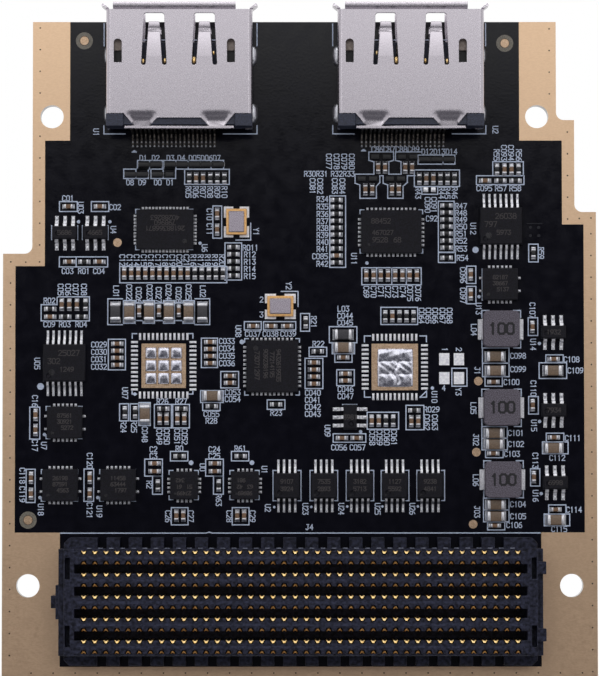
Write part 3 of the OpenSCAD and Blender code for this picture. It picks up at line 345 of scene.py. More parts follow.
# %% Rounded blocks
def rounded_pattern():
    """Corner signs, unit directions and quads of a box with rounded edges. Each side of the box is a grid
    of four by four points, whose outer rows lean half way over to the next side."""
    steps = np.array([[-1, -1], [-1, 0], [1, 0], [1, 1]])
    signs = []
    leans = []
    quads = []
    for axis in range(3):
        for side in (-1, 1):
            sign = np.zeros((4, 4, 3))
            lean = np.zeros((4, 4, 3))
            sign[..., axis] = side
            lean[..., axis] = side
            first = (axis + 1) % 3
            second = (axis + 2) % 3
            sign[..., first] = steps[:, None, 0]
            lean[..., first] = steps[:, None, 1]
            sign[..., second] = steps[None, :, 0]
            lean[..., second] = steps[None, :, 1]
            face = grid_faces(4, 4) + 16 * len(signs)
            quads.append(face if side < 0 else face[:, ::-1])
            signs.append(sign.reshape(-1, 3))
            leans.append(lean.reshape(-1, 3))
    every = np.c_[np.concatenate(signs), np.concatenate(leans)]
    unique, number = np.unique(every, axis=0, return_inverse=True)
    direction = unique[:, 3:] / np.linalg.norm(unique[:, 3:], axis=1, keepdims=True)
    return unique[:, :3], direction, number.reshape(-1)[np.concatenate(quads)]


SIGN, DIRECTION, BLOCK_QUADS = rounded_pattern()
print("points and quads of a block:", len(SIGN), len(BLOCK_QUADS))


def blocks(low, high, radius):
    """Rounded boxes between the lowest and highest corners. A point is the middle, plus its corner's sign
    times half the size less the radius, plus the radius times its direction. No radius is over
    0.95 of the shortest half side."""
    half = (high - low) / 2
    centre = (high + low) / 2
    round_off = np.minimum(radius, half.min(axis=1) * 0.95)[:, None, None]
    points = centre[:, None] + SIGN * (half[:, None] - round_off) + round_off * DIRECTION
    shift = np.arange(len(low))[:, None, None] * len(SIGN)
    return points.reshape(-1, 3), [(BLOCK_QUADS[None] + shift).reshape(-1, 4)]


def block_piece(name, boxes, radius, material, slot, **more):
    """A piece of rounded blocks. Each box is a pair: its lowest and its highest corner."""
    corners = np.array(boxes, dtype=float)
    return add_piece(name, blocks(corners[:, 0], corners[:, 1], radius), material, slot, **more)


# %% [markdown]
# Three pale metals hold the parts. Plated tin on the ends of parts is cloudy and a little rough. Molten
# solder has frozen smooth, so it mirrors more and its bump is deeper but wider. Solder left flat on a land
# is matt and nearly white. Solder could be one plain mirror, but small bumps break up the lamps'
# reflections, as its crystals do.

# %% Tin and solder
tin = finish("bright_tin", tone(212, 212, 218), tone(240, 240, 244), 0.18, (0.3, 0.46), metal=1,
             bump=0.01, bump_grain=0.12, tint=0.12)
solder = finish("solder", tone(206, 207, 214), tone(240, 241, 246), 0.2, (0.28, 0.44), metal=1,
                bump=0.014, bump_grain=0.16, tint=0.1)
land_tin = finish("tinned_land", tone(226, 226, 234), tone(252, 252, 254), 0.25, (0.45, 0.6), metal=0.35,
                  bump=0.01, bump_grain=0.15)

# %% [markdown]
# Molten solder climbs the end of a part and leaves a hollow ramp between the part and its land. It could
# be sculpted, or drawn as a wedge. A wedge looks like plastic, because the hollow is what catches light.
# So the ramp is a grid over the land, whose height falls with the square of the distance from the part.
# It closes with one face against the land and one against the part.

# %% Solder ramps
def ramp_shape():
    """A unit ramp: X outwards, Y from side to side, Z up. Height is the square of the way left to go, times
    the root of 1 less the fourth power of Y. It narrows a little with the cube of the way."""
    out = np.array([0, 0.22, 0.5, 0.8, 1])
    side = np.array([-1, -0.86, -0.45, 0, 0.45, 0.86, 1])
    away, across = np.meshgrid(out, side, indexing="ij")
    height = (1 - away) ** 2 * np.sqrt(1 - across ** 4 * 0.9999)
    spread = across * (1 - 0.1 * away ** 3)
    points = np.stack([away, spread, height], axis=-1).reshape(-1, 3)
    order = np.arange(len(points)).reshape(away.shape)
    sole = np.concatenate([order[:, 0], order[-1, 1:], order[-2::-1, -1]])
    return points, [grid_faces(len(out), len(side)), sole[None], order[:1]]


RAMP = ramp_shape()
print("points of a ramp:", len(RAMP[0]))

# %% [markdown]
# Capacitors, resistors and filter coils are built alike: a fired body with a dipped metal cap at each end.
# The body can be one block with a striped finish, but the real cap stands proud of the body, and the step
# throws a thin shadow. So body and caps are separate blocks, and the body reaches a little into the caps.
# Each cap faces away from the middle of its own body, and the solder ramp starts there.

# %% Parts with two metal ends
LAND_THICK = 0.05
BODY_IN_CAP = 0.06
RAMP_IN_CAP = 0.03
RAMP_LONG = 0.25
RAMP_WIDE = 0.98


def nearest(points, others):
    """For each point, the number of the other point with the least sum of squares apart, in plan."""
    apart = points[:, None, :2] - others[None, :, :2]
    return (apart ** 2).sum(axis=-1).argmin(axis=1)


def ends_with_ways(end_low, end_high, body_low, body_high):
    """For each end cap: its centre and the way that it faces, which is the longer part of the step from
    the middle of the nearest body."""
    centre = (end_low + end_high) / 2
    middle = (body_low + body_high) / 2
    own = nearest(centre, middle)
    way = centre[:, :2] - middle[own][:, :2]
    way = way / np.abs(way).max(axis=1, keepdims=True)
    return centre, np.round(way)


def two_ended(stem, bodies, ends, body_finish, slot, cap_proud, body_round, cap_round, climb):
    """Dresses one kind of part: a body between two end caps. It gives the foot, the way and the size of
    the solder ramp at each end. cap_proud is how far the caps stand out, body_round and cap_round are
    the radii of the edges, and climb is the share of the height that the solder covers."""
    body_low, body_high = solids_of(bodies)
    end_low, end_high = solids_of(ends)
    centre, way = ends_with_ways(end_low, end_high, body_low, body_high)
    own = nearest((body_low + body_high) / 2, centre)
    along = np.abs(np.c_[way[own], np.zeros(len(own))])
    shrink = np.where(along > 0.5, -BODY_IN_CAP, cap_proud)
    shrink[:, 2] = 0
    low = body_low + shrink
    high = body_high - shrink
    high[:, 2] -= cap_proud
    add_piece(stem + "_middles", blocks(low, high, body_round), body_finish, slot, [bodies])
    add_piece(stem + "_caps", blocks(end_low, end_high, cap_round), tin, "tinned", [ends])
    size = end_high - end_low
    half_along = (np.abs(way) * size[:, :2]).sum(axis=1) / 2
    half_across = (np.abs(way[:, ::-1]) * size[:, :2]).sum(axis=1) / 2
    foot = centre.copy()
    foot[:, :2] += way * (half_along - RAMP_IN_CAP)[:, None]
    foot[:, 2] = LAND_THICK
    stretch = np.c_[np.full(len(own) * 2, RAMP_LONG), half_across * RAMP_WIDE, size[:, 2] * climb]
    return foot, way, stretch


# %% [markdown]
# Small capacitors are of brown, speckled ceramic, large ones of a greyer kind. Resistors are white ceramic
# under a black glaze, of which only the glaze shows from above, and the filter coils are dark ferrite.
# Each kind is one entry: its nodes, its finish, and how round and proud it is. The ramps become one piece.

# %% Ceramic parts
brown_ceramic = finish("brown_ceramic", tone(116, 88, 66), tone(142, 110, 84), 0.12, (0.4, 0.6),
                       bump=0.004, bump_grain=0.05, tint=0.22)
taupe_ceramic = finish("taupe_ceramic", tone(110, 92, 76), tone(132, 111, 92), 0.2, (0.35, 0.5),
                       bump=0.004, bump_grain=0.06, tint=0.15)
resistor_glaze = finish("resistor_glaze", tone(16, 16, 19), tone(30, 30, 34), 0.15, (0.25, 0.45),
                        bump=0.003, bump_grain=0.06, tint=0.3)
ferrite = finish("ferrite", tone(46, 45, 50), tone(66, 64, 70), 0.12, (0.45, 0.6),
                 bump=0.01, bump_grain=0.05)
ramps = [
    two_ended("small_capacitor", "capacitor_bodies", "capacitor_ends", brown_ceramic,
              "capacitor_ceramic", cap_proud=0.02, body_round=0.05, cap_round=0.07, climb=0.6),
    two_ended("resistor", "resistor_bodies", "resistor_ends", resistor_glaze,
              "resistor_ceramic", cap_proud=0.025, body_round=0.03, cap_round=0.05, climb=0.8),
    two_ended("large_capacitor", "large_capacitor_bodies", "large_capacitor_ends", taupe_ceramic,
              "capacitor_ceramic", cap_proud=0.03, body_round=0.09, cap_round=0.12, climb=0.5),
    two_ended("filter_coil", "filter_coil_bodies", "filter_coil_ends", ferrite,
              "coil_core", cap_proud=0.03, body_round=0.08, cap_round=0.12, climb=0.5)
]
foot, way, stretch = (np.concatenate(kind) for kind in zip(*ramps))
add_piece("solder_ramps", repeated(RAMP, foot, way, stretch), solder, "tinned")

# %% [markdown]
# The small diodes protect the signal lines behind the sockets. Each is a dark moulding that hides its ends
# and its lands from above, so one block stands for body and ends together. Nine more lie in printed frames
# and can hardly be seen on the black mask. Leads could be added, but they would never show.

# %% Diodes
# The same near-black plastic also makes the painted shade under the latch plates.
diode_plastic_and_shade = finish("diode_plastic_and_shade", tone(17, 17, 20), tone(27, 27, 31), 0.15, (0.4, 0.6),
                       bump=0.003, bump_grain=0.05)
# How far the moulding reaches past the CAD's body, and then the size and the middles of the framed ones
DIODE_REACH = np.array([0.43, 0.02, 0])
DIODE_SIZE = np.array([0.96, 0.54, 0.42])
DIODE_ROUND = 0.05
diode_low, diode_high = solids_of("diode_bodies")
add_piece("diodes", blocks(diode_low - DIODE_REACH, diode_high + DIODE_REACH, DIODE_ROUND),
          diode_plastic_and_shade, "chip_plastic", ["diode_bodies", "diode_ends"])
framed = np.array([(-15.15, 47.8), (8.8, 49.86), (10.15, 49.86), (11.9, 49.86), (13.25, 49.86),
                   (7.22, 47.28), (8.55, 47.28), (10.5, 47.28), (11.8, 47.28)])
low = np.c_[framed - DIODE_SIZE[:2] / 2, np.zeros(len(framed))]
add_piece("framed_diodes", blocks(low, low + DIODE_SIZE, DIODE_ROUND), diode_plastic_and_shade, "chip_plastic")

# %% [markdown]
# Mouldings, sheet and pins have slightly rounded edges, which catch the light. A CAD solid has none. The
# Bevel modifier could add them, but it finds no edges here, because the CAD mesh is loose triangles. So a
# copy is merged first, flat triangles are dissolved into whole faces, and only then its sharp edges are
# bevelled. The copy stands for the node, which stays in the physics model.

# %% Softened copies
SAME_PLACE = 1e-7
NEARLY_FLAT = math.radians(0.5)


def softened(name, copied, width, material, segments=2, sharp=25, reshape=None, chosen=None,
             curved=None):
    """A merged copy of CAD nodes with every edge sharper than the angle bevelled by width mm.
    reshape may bend the copy first, chosen picks among the edges, and curved says which faces are
    smooth. Where a bevel meets such a face, the edge between them stays sharp, so that the light on
    the one doesn't bleed into the other."""
    shape = bmesh.new()
    for node in copied:
        shape.from_mesh(nodes[node].data)
    bmesh.ops.remove_doubles(shape, verts=shape.verts, dist=SAME_PLACE)
    bmesh.ops.dissolve_limit(shape, angle_limit=NEARLY_FLAT, verts=shape.verts, edges=shape.edges)
    if reshape:
        bmesh.ops.triangulate(shape, faces=shape.faces)
        reshape(shape)
    edges = [edge for edge in shape.edges if edge.calc_face_angle(0) > math.radians(sharp)]
    if chosen:
        edges = [edge for edge in edges if chosen(edge)]
    rounded = bmesh.ops.bevel(shape, geom=edges, offset=width * MM, segments=segments, profile=0.5,
                              affect="EDGES", clamp_overlap=False)["faces"]
    for face in shape.faces:
        face.smooth = bool(curved) and curved(face)
    curving = {face for face in shape.faces if face.smooth} - set(rounded)
    for face in rounded:
        face.smooth = True
        for edge in face.edges:
            if any(other in curving for other in edge.link_faces):
                edge.smooth = False
    mesh = bpy.data.meshes.new(name)
    shape.to_mesh(mesh)
    shape.free()
    mesh.materials.append(material)
    piece = bpy.data.objects.new(name, mesh)
    bpy.context.collection.objects.link(piece)
    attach(piece, "root")
    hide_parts(*copied)
    print(name, "faces:", len(mesh.polygons))
    return piece


# %% [markdown]
# A chip's package is black plastic, pressed in a mould with a finely etched face: nearly black, with a
# fine grain and a dull shine. Its edges are rounded just enough to show a grey line of light. Each chip
# could be a piece of its own, but as all are alike in this, one piece takes them all.

# %% Chip mouldings
chip_plastic = finish("chip_plastic", tone(5, 5, 10), tone(24, 23, 33), 0.14, (0.4, 0.55),
                      bump=0.008, bump_grain=0.1, specular=0.2)
chips = [name for name in nodes if name.endswith("_chip") or "_chip_" in name]
print("chips:", len(chips))
softened("chip_mouldings", chips, 0.07, chip_plastic)

# %% [markdown]
# Each socket's shell is one sheet of bright steel, folded round the plastic. Its top isn't flat: it dips
# before two tabs at the rear, its lip curls over in front, and two spring fingers are pressed inwards.
# The CAD holds these as plain slopes. Curves could be drawn for their rounding, but profiles measured along
# the sheet are shorter: pairs of lists, first the distances, then the heights or depths at them.

# %% Sizes of the shells' bends
FRONT_Y = 65.65
SHELL_TOP = 6.25
SHELL_FRONT = FRONT_Y + 0.65
# A shell's middle lies this far to the right of the middle of its contacts
CONTACT_SHIFT = 0.8
# All of the top sheet, with its lip and fingers, lies less than this under its top
SHEET_ZONE = 0.95
# Corners closer than this are one, and lie on one level
SAME_LEVEL = 0.004
# The dip: its start and length front to back, its depth, and where it begins and fades beside the middle
DIP_START = 10.95
DIP_LENGTH = 1.4
DIP_DEPTH = 0.3
DIP_INNER = 2.3
DIP_OUTER = 3.4
DIP_EDGE = 5.2
DIP_FADE = 1
# Behind this line the sheet is low all the way across
BAR_TOP = FRONT_Y - 12.75
# How far out from the sheet's front, and how high: the lip's top in the CAD and in the dressed shape
CAD_LIP = ([0, 0.175, 0.58, 0.8], [0, 0.08, 0.595, 0.434])
BENT_LIP = ([0, 0.1, 0.2, 0.28, 0.36, 0.58, 0.8], [0, 0.25, 0.45, 0.54, 0.57, 0.58, 0.42])
FINGER_X = 2.9
FINGER_TIP = 0.75
FINGER_ROOT = 5.5
FINGER_HALF = 1
FINGER_WAVE = 4
# The finger's depth under the sheet: the distance behind its tip, in the CAD and in the dressed shape
CAD_FINGER = ([0, 0.3, 0.6, 0.85, 1.25, 1.85, 2.8, 4.85], [0.28, 0.25, 0.3, 0.4, 0.32, 0.2, 0.1, 0])
BENT_FINGER = ([0, 0.3, 0.66, 0.72, 0.8, 0.88, 1.0, 1.15, 1.3, 1.6, 2.0, 2.4, 2.8, 3.4, 4, 4.85],
               [0.2, 0.17, 0.19, 0.2, 0.27, 0.27, 0.23, 0.16, 0.12, 0.085, 0.055, 0.035, 0.02, 0.006, 0, 0])
print("points of the finger's profile:", len(BENT_FINGER[0]))

# %% [markdown]
# A bend is a rule that gives each point of the sheet a new height. A lattice or a sculpting brush could
# push the sheet too, but a rule serves both sockets alike. Three parts add up: the dip, which starts and
# ends without a kink, the curl of the lip, and the waves of the fingers. For the last two the CAD's own
# profile is taken off first.

# %% How the sheet rises and sinks
def smooth_step(value):
    """Rises from 0 to 1 without a kink at either end: 10 cubes, less 15 fourth and plus 6 fifth powers."""
    share = np.clip(value, 0, 1)
    return share ** 3 * (10 - 15 * share + 6 * share ** 2)


def on_finger(x, y, middle):
    """Whether a place lies within the width and the length of one of a shell's two spring fingers."""
    off = np.abs(np.abs(x - middle) - FINGER_X)
    behind = FRONT_Y - y
    return (off < FINGER_HALF) & (behind > FINGER_TIP - 0.01) & (behind < FINGER_ROOT)


def sheet_rise(x, y, middle):
    """How far the sheet rises at each place. The dip is its depth times three smooth steps: backwards, away
    from the middle, and away again. The lip and the fingers rise by the new profile less the CAD's."""
    off = np.abs(x - middle)
    back = smooth_step((FRONT_Y - DIP_START - y) / DIP_LENGTH)
    beside = smooth_step((off - DIP_INNER) / (DIP_OUTER - DIP_INNER))
    fade = 1 - smooth_step((off - DIP_EDGE) / DIP_FADE)
    dip = DIP_DEPTH * np.where(y < BAR_TOP, 1, back * beside * fade)
    out = y - SHELL_FRONT
    curl = np.interp(out, *BENT_LIP) - np.interp(out, *CAD_LIP)
    behind = FRONT_Y - FINGER_TIP - y
    wave = np.interp(behind, *CAD_FINGER) - np.interp(behind, *BENT_FINGER)
    return np.where(out > 0, curl, 0) + np.where(on_finger(x, y, middle), wave, 0) - dip


# %% [markdown]
# A large flat face can't bend, as only its corners can move. So the sheet is first cut across at small
# steps where it will bend: across and along the dips, across the lip and across the fingers. Subdividing
# the whole shell would work as well, but gives thousands of faces where the sheet stays flat. After the
# cuts, every corner of the top sheet moves by the rule above, worked out for all corners at once.

# %% Bending a shell
def cut(shape, place, normal, wanted):
    """Cuts all faces that have a wanted corner, along the plane through a place."""
    faces = [face for face in shape.faces if any(wanted(corner.co / MM) for corner in face.verts)]
    around = list({part for face in faces for part in face.edges[:] + face.verts[:]})
    bmesh.ops.bisect_plane(shape, geom=around + faces, plane_co=np.array(place) * MM,
                           plane_no=normal, dist=1e-8)


def cut_sheet(shape, middle):
    """Cuts the sheet at ten steps along the dips and five at each of their sides, and at every distance
    that the profiles of the lip and the fingers name."""
    def low_at_rear(spot):
        return spot.y < FRONT_Y - DIP_START - 0.01 and spot.z > SHELL_TOP - SHEET_ZONE

    for step in range(-1, 11):
        place = FRONT_Y - DIP_START - DIP_LENGTH * step / 10
        cut(shape, (0, place, 0), (0, 1, 0), low_at_rear)
    for side in (-1, 1):
        for start, length in ((DIP_INNER, DIP_OUTER - DIP_INNER), (DIP_EDGE, DIP_FADE)):
            for step in range(6):
                place = middle + side * (start + length * step / 5)
                cut(shape, (place, 0, 0), (1, 0, 0), low_at_rear)
    for out in BENT_LIP[0][1:-1]:
        cut(shape, (0, SHELL_FRONT + out, 0), (0, 1, 0), lambda spot: spot.y > SHELL_FRONT)
    for back in BENT_FINGER[0][1:-1]:
        cut(shape, (0, FRONT_Y - FINGER_TIP - back, 0), (0, 1, 0),
            lambda spot: on_finger(spot.x, spot.y, middle))


def bend_sheet(middle):
    """Gives the function that bends a shell's copy about its middle: it levels the top, cuts it and adds
    the rise to every height."""
    def bend(shape):
        for corner in shape.verts:
            if abs(corner.co.z / MM - SHELL_TOP) < SAME_LEVEL:
                corner.co.z = SHELL_TOP * MM
        bmesh.ops.remove_doubles(shape, verts=shape.verts, dist=SAME_LEVEL * MM)
        cut_sheet(shape, middle)
        x, y, z = np.array([corner.co for corner in shape.verts]).T / MM
        rise = np.where(z < SHELL_TOP - SHEET_ZONE, 0, sheet_rise(x, y, middle))
        for corner, lift in zip(shape.verts, (rise * MM).tolist()):
            corner.co.z += lift
        print("corners of the bent shell:", len(rise), "deepest:", round(float(rise.min()), 2))
    return bend


# %% [markdown]
# The sheet is drawn steel, very smooth and cold in colour. In the CAD it has sharp folds, and the cuts for
# its slots have bright edges, so those edges are bevelled, while the flat faces stay truly flat. Shading
# all of it smooth would smear light over the flat parts. Only the dips, the lip and the waves are shaded
# as curves. The housing inside is dark blue-grey plastic with a small bevel of one step.

# %% Shells and their housings
steel = finish("drawn_steel", tone(196, 190, 197), tone(201, 195, 202), 0.3, (0.26, 0.28), metal=1,
               bump=0.0012, bump_grain=0.14)
socket_plastic = finish("socket_plastic", tone(18, 22, 36), tone(54, 59, 81), 0.16, (0.36, 0.55),
                        bump=0.01, bump_grain=0.08)


def shell_middle(side):
    """The middle of a shell in X: that of its contacts, plus the shift."""
    low, high = np.array(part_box(side + "_socket_contacts")) / MM
    return (low[0] + high[0]) / 2 + CONTACT_SHIFT


def sheet_edge(edge):
    """The edges of the top sheet that catch the light: those of its slots and its rear."""
    places = [end.co / MM for end in edge.verts]
    return all(place.z > SHELL_TOP - 1.3 and place.y < SHELL_FRONT - 0.1 for place in places)


def bent_faces(middle):
    """Picks the faces of the dips, the fingers' waves and the lip, and a strip before each dip."""
    def chosen(face):
        place = face.calc_center_median() / MM
        upward = place.z > SHELL_TOP - 0.9 and face.normal.z > 0.3
        dipped = place.y < FRONT_Y - DIP_START + DIP_LENGTH / 10
        beside = abs(abs(place.x - middle) - FINGER_X) < FINGER_HALF
        waved = beside and FINGER_TIP < FRONT_Y - place.y < FINGER_TIP + FINGER_WAVE
        return upward and (dipped or waved or place.y > SHELL_FRONT)
    return chosen


for side in ("left", "right"):
    middle = shell_middle(side)
    softened(side + "_shell_sheet", [side + "_socket_shell"], 0.05, steel,
             sharp=50, reshape=bend_sheet(middle), chosen=sheet_edge, curved=bent_faces(middle))
    softened(side + "_housing_moulding", [side + "_socket_housing"], 0.03, socket_plastic,
             segments=1)

# %% [markdown]
# The connector's body and the pressed cores of the power coils are mouldings too, one of black plastic
# with a coarse grain, the other of speckled metal powder. Their edges are softened like the chips'. The
# two crystals sit in metal cases: a warm, gold-like rim, and a grey brushed lid welded on it. One finish
# for all metal and one for all plastic could do, but from above only colour and grain tell these parts
# apart, so each has its own.

# %% Connector, coils and crystals
connector_plastic = finish("connector_plastic", tone(14, 15, 27), tone(46, 48, 66), 0.4, (0.36, 0.55),
                           bump=0.03, bump_grain=0.3, specular=0.2)
coil_core = finish("pressed_powder", tone(48, 43, 52), tone(114, 107, 120), 0.1, (0.5, 0.7),
                   bump=0.02, bump_grain=0.08)
crystal_rim = finish("crystal_rim", tone(226, 172, 112), tone(244, 200, 140), 0.2, (0.35, 0.5), metal=1,
                     bump=0.004, bump_grain=0.08)
crystal_cap = finish("crystal_cap", tone(132, 124, 134), tone(204, 196, 206), 0.08, (0.4, 0.55), metal=1,
                     bump=0.01, bump_grain=0.05)
softened("connector_moulding", ["board_connector_body"], 0.06, connector_plastic)
coils = ["upper_power_coil", "middle_power_coil", "lower_power_coil"]
softened("coil_cores", coils, 0.09, coil_core)
softened("coil_clips", ["coil_terminals"], 0.04, tin)
softened("crystal_rims", ["left_crystal_case", "middle_crystal_case"], 0.08, crystal_rim)
softened("crystal_lids", ["left_crystal_lid", "middle_crystal_lid"], 0.09, crystal_cap)

# %% [markdown]
# A formed lead leaves the chip, bends down and ends in a flat foot. Extruding and bending a box by hand
# would do for one. As a strip carried along a path, one function serves all leads and also the sockets'
# tails. Sharp bends would look folded from paper, so each corner of the path gives way to a short arc.

# %% Bent strips
def rounded_path(corners, radius, steps=3):
    """Points of a path whose inner corners are rounded by a curve of second degree. Its points are the
    start times the square of the way left, plus the corner times twice both ways, plus the end times the
    square of the way gone."""
    points = [corners[0]]
    for before, corner, after in zip(corners[:-2], corners[1:-1], corners[2:]):
        before, corner, after = map(np.array, (before, corner, after))
        back = (before - corner) / np.linalg.norm(before - corner)
        ahead = (after - corner) / np.linalg.norm(after - corner)
        for share in np.linspace(0, 1, steps):
            start = corner + back * radius
            end = corner + ahead * radius
            points.append((1 - share) ** 2 * start + 2 * share * (1 - share) * corner + share ** 2 * end)
    points.append(corners[-1])
    return np.array(points)


def strip_shape(path, width, thick):
    """A flat strip along a path in the X-Z plane, thick across the path and width wide along Y. Its four
    rows of points lie half the thickness along the path's normal and half the width beside it."""
    way = np.gradient(path, axis=0)
    way /= np.linalg.norm(way, axis=1, keepdims=True)
    normal = np.c_[-way[:, 1], way[:, 0]]
    sides = []
    for across, off in ((-1, -1), (1, -1), (1, 1), (-1, 1)):
        flat = path + normal * off * thick / 2
        sides.append(np.c_[flat[:, 0], np.full(len(path), across * width / 2), flat[:, 1]])
    points = np.stack(sides, axis=1).reshape(-1, 3)
    quads = grid_faces(len(path), 4, closed=True)
    last = len(points)
    return points, [quads, np.array([[0, 3, 2, 1], [last - 4, last - 3, last - 2, last - 1]])]


# %% [markdown]
# The leaded chips stand on 104 leads of tinned copper. Their solids in the CAD say where each one lies,
# how far it reaches and how high it starts. They could be modelled chip by chip, but leads of one size are
# alike. So they share one strip, which is made once and turned so that it points away from its chip.

# %% Formed leads
LEAD_THICK = 0.15
LEAD_BEND = 0.1
# The lead turns down and gets its foot at these shares of its reach, and starts this far inside the chip
LEAD_KNEE = 0.36
LEAD_HEEL = 0.55
LEAD_INSIDE = 0.05


def nearest_box(centres, boxes):
    """For each point, the number of the box that it lies at: the one it is beyond by the least, counted as
    the distances past its sides in X and Y added up."""
    middle = (boxes[:, 0] + boxes[:, 1]) / 2
    half = (boxes[:, 1] - boxes[:, 0]) / 2
    beyond = np.abs(centres[:, None, :2] - middle[None, :, :2]) - half[None, :, :2]
    return np.maximum(beyond, 0).sum(axis=-1).argmin(axis=1)


def outward(low, high, boxes):
    """The ways in which long solids point: along their longer side, and away from their chip's middle."""
    centre = (low + high) / 2
    chip = boxes[nearest_box(centre, boxes)]
    from_chip = (centre - chip.mean(axis=1))[:, :2]
    size = (high - low)[:, :2]
    long_in_x = size[:, 0] > size[:, 1]
    way = np.where(long_in_x[:, None], [[1.0, 0.0]], [[0.0, 1.0]])
    return way * np.sign((way * from_chip).sum(axis=1))[:, None]


def joined(parts):
    """Joins shapes into one. The faces of each shape count on from the points of those before it."""
    starts = np.cumsum([0] + [len(points) for points, _ in parts])
    moved = [[group + start for group in faces] for start, (_, faces) in zip(starts, parts)]
    points = np.concatenate([points for points, _ in parts])
    return points, [group for kind in zip(*moved) for group in kind]


chip_boxes = np.array([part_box(name) for name in chips]) / MM
lead_low, lead_high = solids_of("formed_leads")
lead_way = outward(lead_low, lead_high, chip_boxes)
lead_size = lead_high - lead_low
lead_reach = np.abs(lead_way * lead_size[:, :2]).sum(axis=1)
lead_width = np.abs(lead_way[:, ::-1] * lead_size[:, :2]).sum(axis=1)
lead_kind = np.c_[lead_reach, lead_width, lead_size[:, 2]].round(2)
lead_parts = []
for kind in np.unique(lead_kind, axis=0):
    reach, width, height = kind
    mine = (lead_kind == kind).all(axis=1)
    top = height - LEAD_THICK / 2
    path = rounded_path([(-LEAD_INSIDE, top), (reach * LEAD_KNEE, top), (reach * LEAD_HEEL, LEAD_THICK / 2),
                         (reach, LEAD_THICK / 2)], LEAD_BEND)
    lead = strip_shape(path, width, LEAD_THICK)
    root = (lead_low + lead_high)[mine] / 2
    root[:, :2] -= lead_way[mine] * reach / 2
    root[:, 2] = lead_low[mine][:, 2]
    lead_parts.append(repeated(lead, root, lead_way[mine], (1, 1, 1)))
print("kinds of leads:", len(lead_parts))
leads = add_piece("lead_frames", joined(lead_parts), tin, "tinned", ["formed_leads"])
leads.data.set_sharp_from_angle(angle=math.radians(50))

# %% [markdown]
# Solder that has no part to climb draws together into a low dome, because its surface is under tension.
# A squashed ball would sink half its faces into the board, so the dome is made as half a ball, in rings,
# with a flat underside. Seen from above the rings are a little square, as the lands under them are.

# %% Solder domes
def dome_shape(around=10, rings=3):
    """A closed dome of radius 1 and height 1. The height of a ring is the root of 1 less the square of its
    radius. Each ring is a circle drawn out towards its four corners."""
    angle = np.linspace(0, 2 * np.pi, around, endpoint=False)
    radius = np.linspace(1, 0.25, rings)
    squareness = 1 / np.maximum(np.abs(np.cos(angle)), np.abs(np.sin(angle))) ** 0.35
    flat = np.stack([np.cos(angle) * squareness, np.sin(angle) * squareness], axis=-1)
    body = radius[:, None, None] * flat[None]
    height = np.sqrt(np.clip(1 - radius ** 2, 0, 1))
    points = np.concatenate([body, np.broadcast_to(height[:, None, None], (rings, around, 1))], axis=-1)
    points = np.concatenate([points.reshape(-1, 3), [[0, 0, 1]]])
    quads = grid_faces(rings, around, closed=True)
    tip = np.arange(around) + (rings - 1) * around
    cap = np.stack([tip, np.roll(tip, -1), np.full(around, rings * around)], axis=-1)
    return points, [quads, cap, np.arange(around)[None, ::-1]]


DOME = dome_shape()
print("points of a dome:", len(DOME[0]))

# %% [markdown]
# Every lead stands on a printed land, 864 in all. The kinds are told apart by their size: short lands
# stick out from under the flat chips, longer ones carry the toes of formed leads, and a third kind lies
# empty, as it has no chip. Each kind gets its own dome: a bright drop, a thin film at the toe, and a flat
# matt skin on the empty ones.

# %% Solder on the lands
land_low, land_high = solids_of("solder_lands")
land_size = land_high - land_low
long_side = land_size[:, :2].max(axis=1)
short_side = land_size[:, :2].min(axis=1)
land_way = outward(land_low, land_high, chip_boxes)
land_centre = (land_low + land_high) / 2
narrow = np.abs(short_side - 0.26) < 0.02
under_flat = (np.abs(long_side - 0.65) < 0.02) & narrow
empty_land = (np.abs(long_side - 0.8) < 0.02) & narrow
toe_land = (long_side > 0.9) & (short_side < 0.45) & (short_side > 0.25)
print("lands under flat chips, empty, under leads:", under_flat.sum(), empty_land.sum(), toe_land.sum())


def drops(chosen, back, length, width, height):
    """Places, ways and sizes of domes on some lands. A dome's middle lies back behind its land's outer end,
    it is length long and height high, and it covers a share of the land's width."""
    at = land_centre[chosen].copy()
    way = land_way[chosen]
    at[:, :2] += way * (long_side[chosen] / 2 - back)[:, None]
    at[:, 2] = LAND_THICK
    size = np.c_[np.full(len(at), length / 2), short_side[chosen] * width / 2, np.full(len(at), height)]
    return at, way, size


drop_sets = [drops(under_flat, back=0.19, length=0.36, width=0.98, height=0.1),
             drops(toe_land, back=0.3, length=0.56, width=0.98, height=0.05)]
all_drops = [np.concatenate(group) for group in zip(*drop_sets)]
add_piece("solder_drops", repeated(DOME, *all_drops), solder, "tinned")
skins = drops(empty_land, back=0.4, length=0.82, width=1.02, height=0.035)
add_piece("empty_land_solder", repeated(DOME, *skins), land_tin, "tinned")

# %% [markdown]
# Each leg of a socket stands in a slot full of solder, which shows beside the shell as a bright lump, and
# on the other side of the board as a lower one. The lumps are the dome again with more rings, since they
# are larger and seen closer. For the underside the dome is mirrored in the board's face. A mirror turns
# its faces inside out, so the order of their corners is turned round too.

# %% Lumps at the socket legs
LUMP_HIGH = 0.75
LUMP_LOW = 0.5
LUMP = dome_shape(20, 6)
collar_low, collar_high = solids_of("socket_solder")
collar_centre = (collar_low + collar_high) / 2
collar_size = collar_high - collar_low
upper = collar_centre[:, 2] > 0
at = collar_centre.copy()
at[:, 2] = np.where(upper, collar_low[:, 2], collar_high[:, 2])
size = np.c_[collar_size[:, 0] / 2 + 0.1, collar_size[:, 1] / 2 * 0.95, np.where(upper, LUMP_HIGH, LUMP_LOW)]
add_piece("leg_solder_top", repeated(LUMP, at[upper], (1, 0), size[upper]), solder, "tinned",
          ["socket_solder"])
points, faces = repeated(LUMP, at[~upper], (1, 0), size[~upper])
points[:, 2] = 2 * at[~upper][0, 2] - points[:, 2]
add_piece("leg_solder_under", (points, [group[:, ::-1] for group in faces]), solder, "tinned")
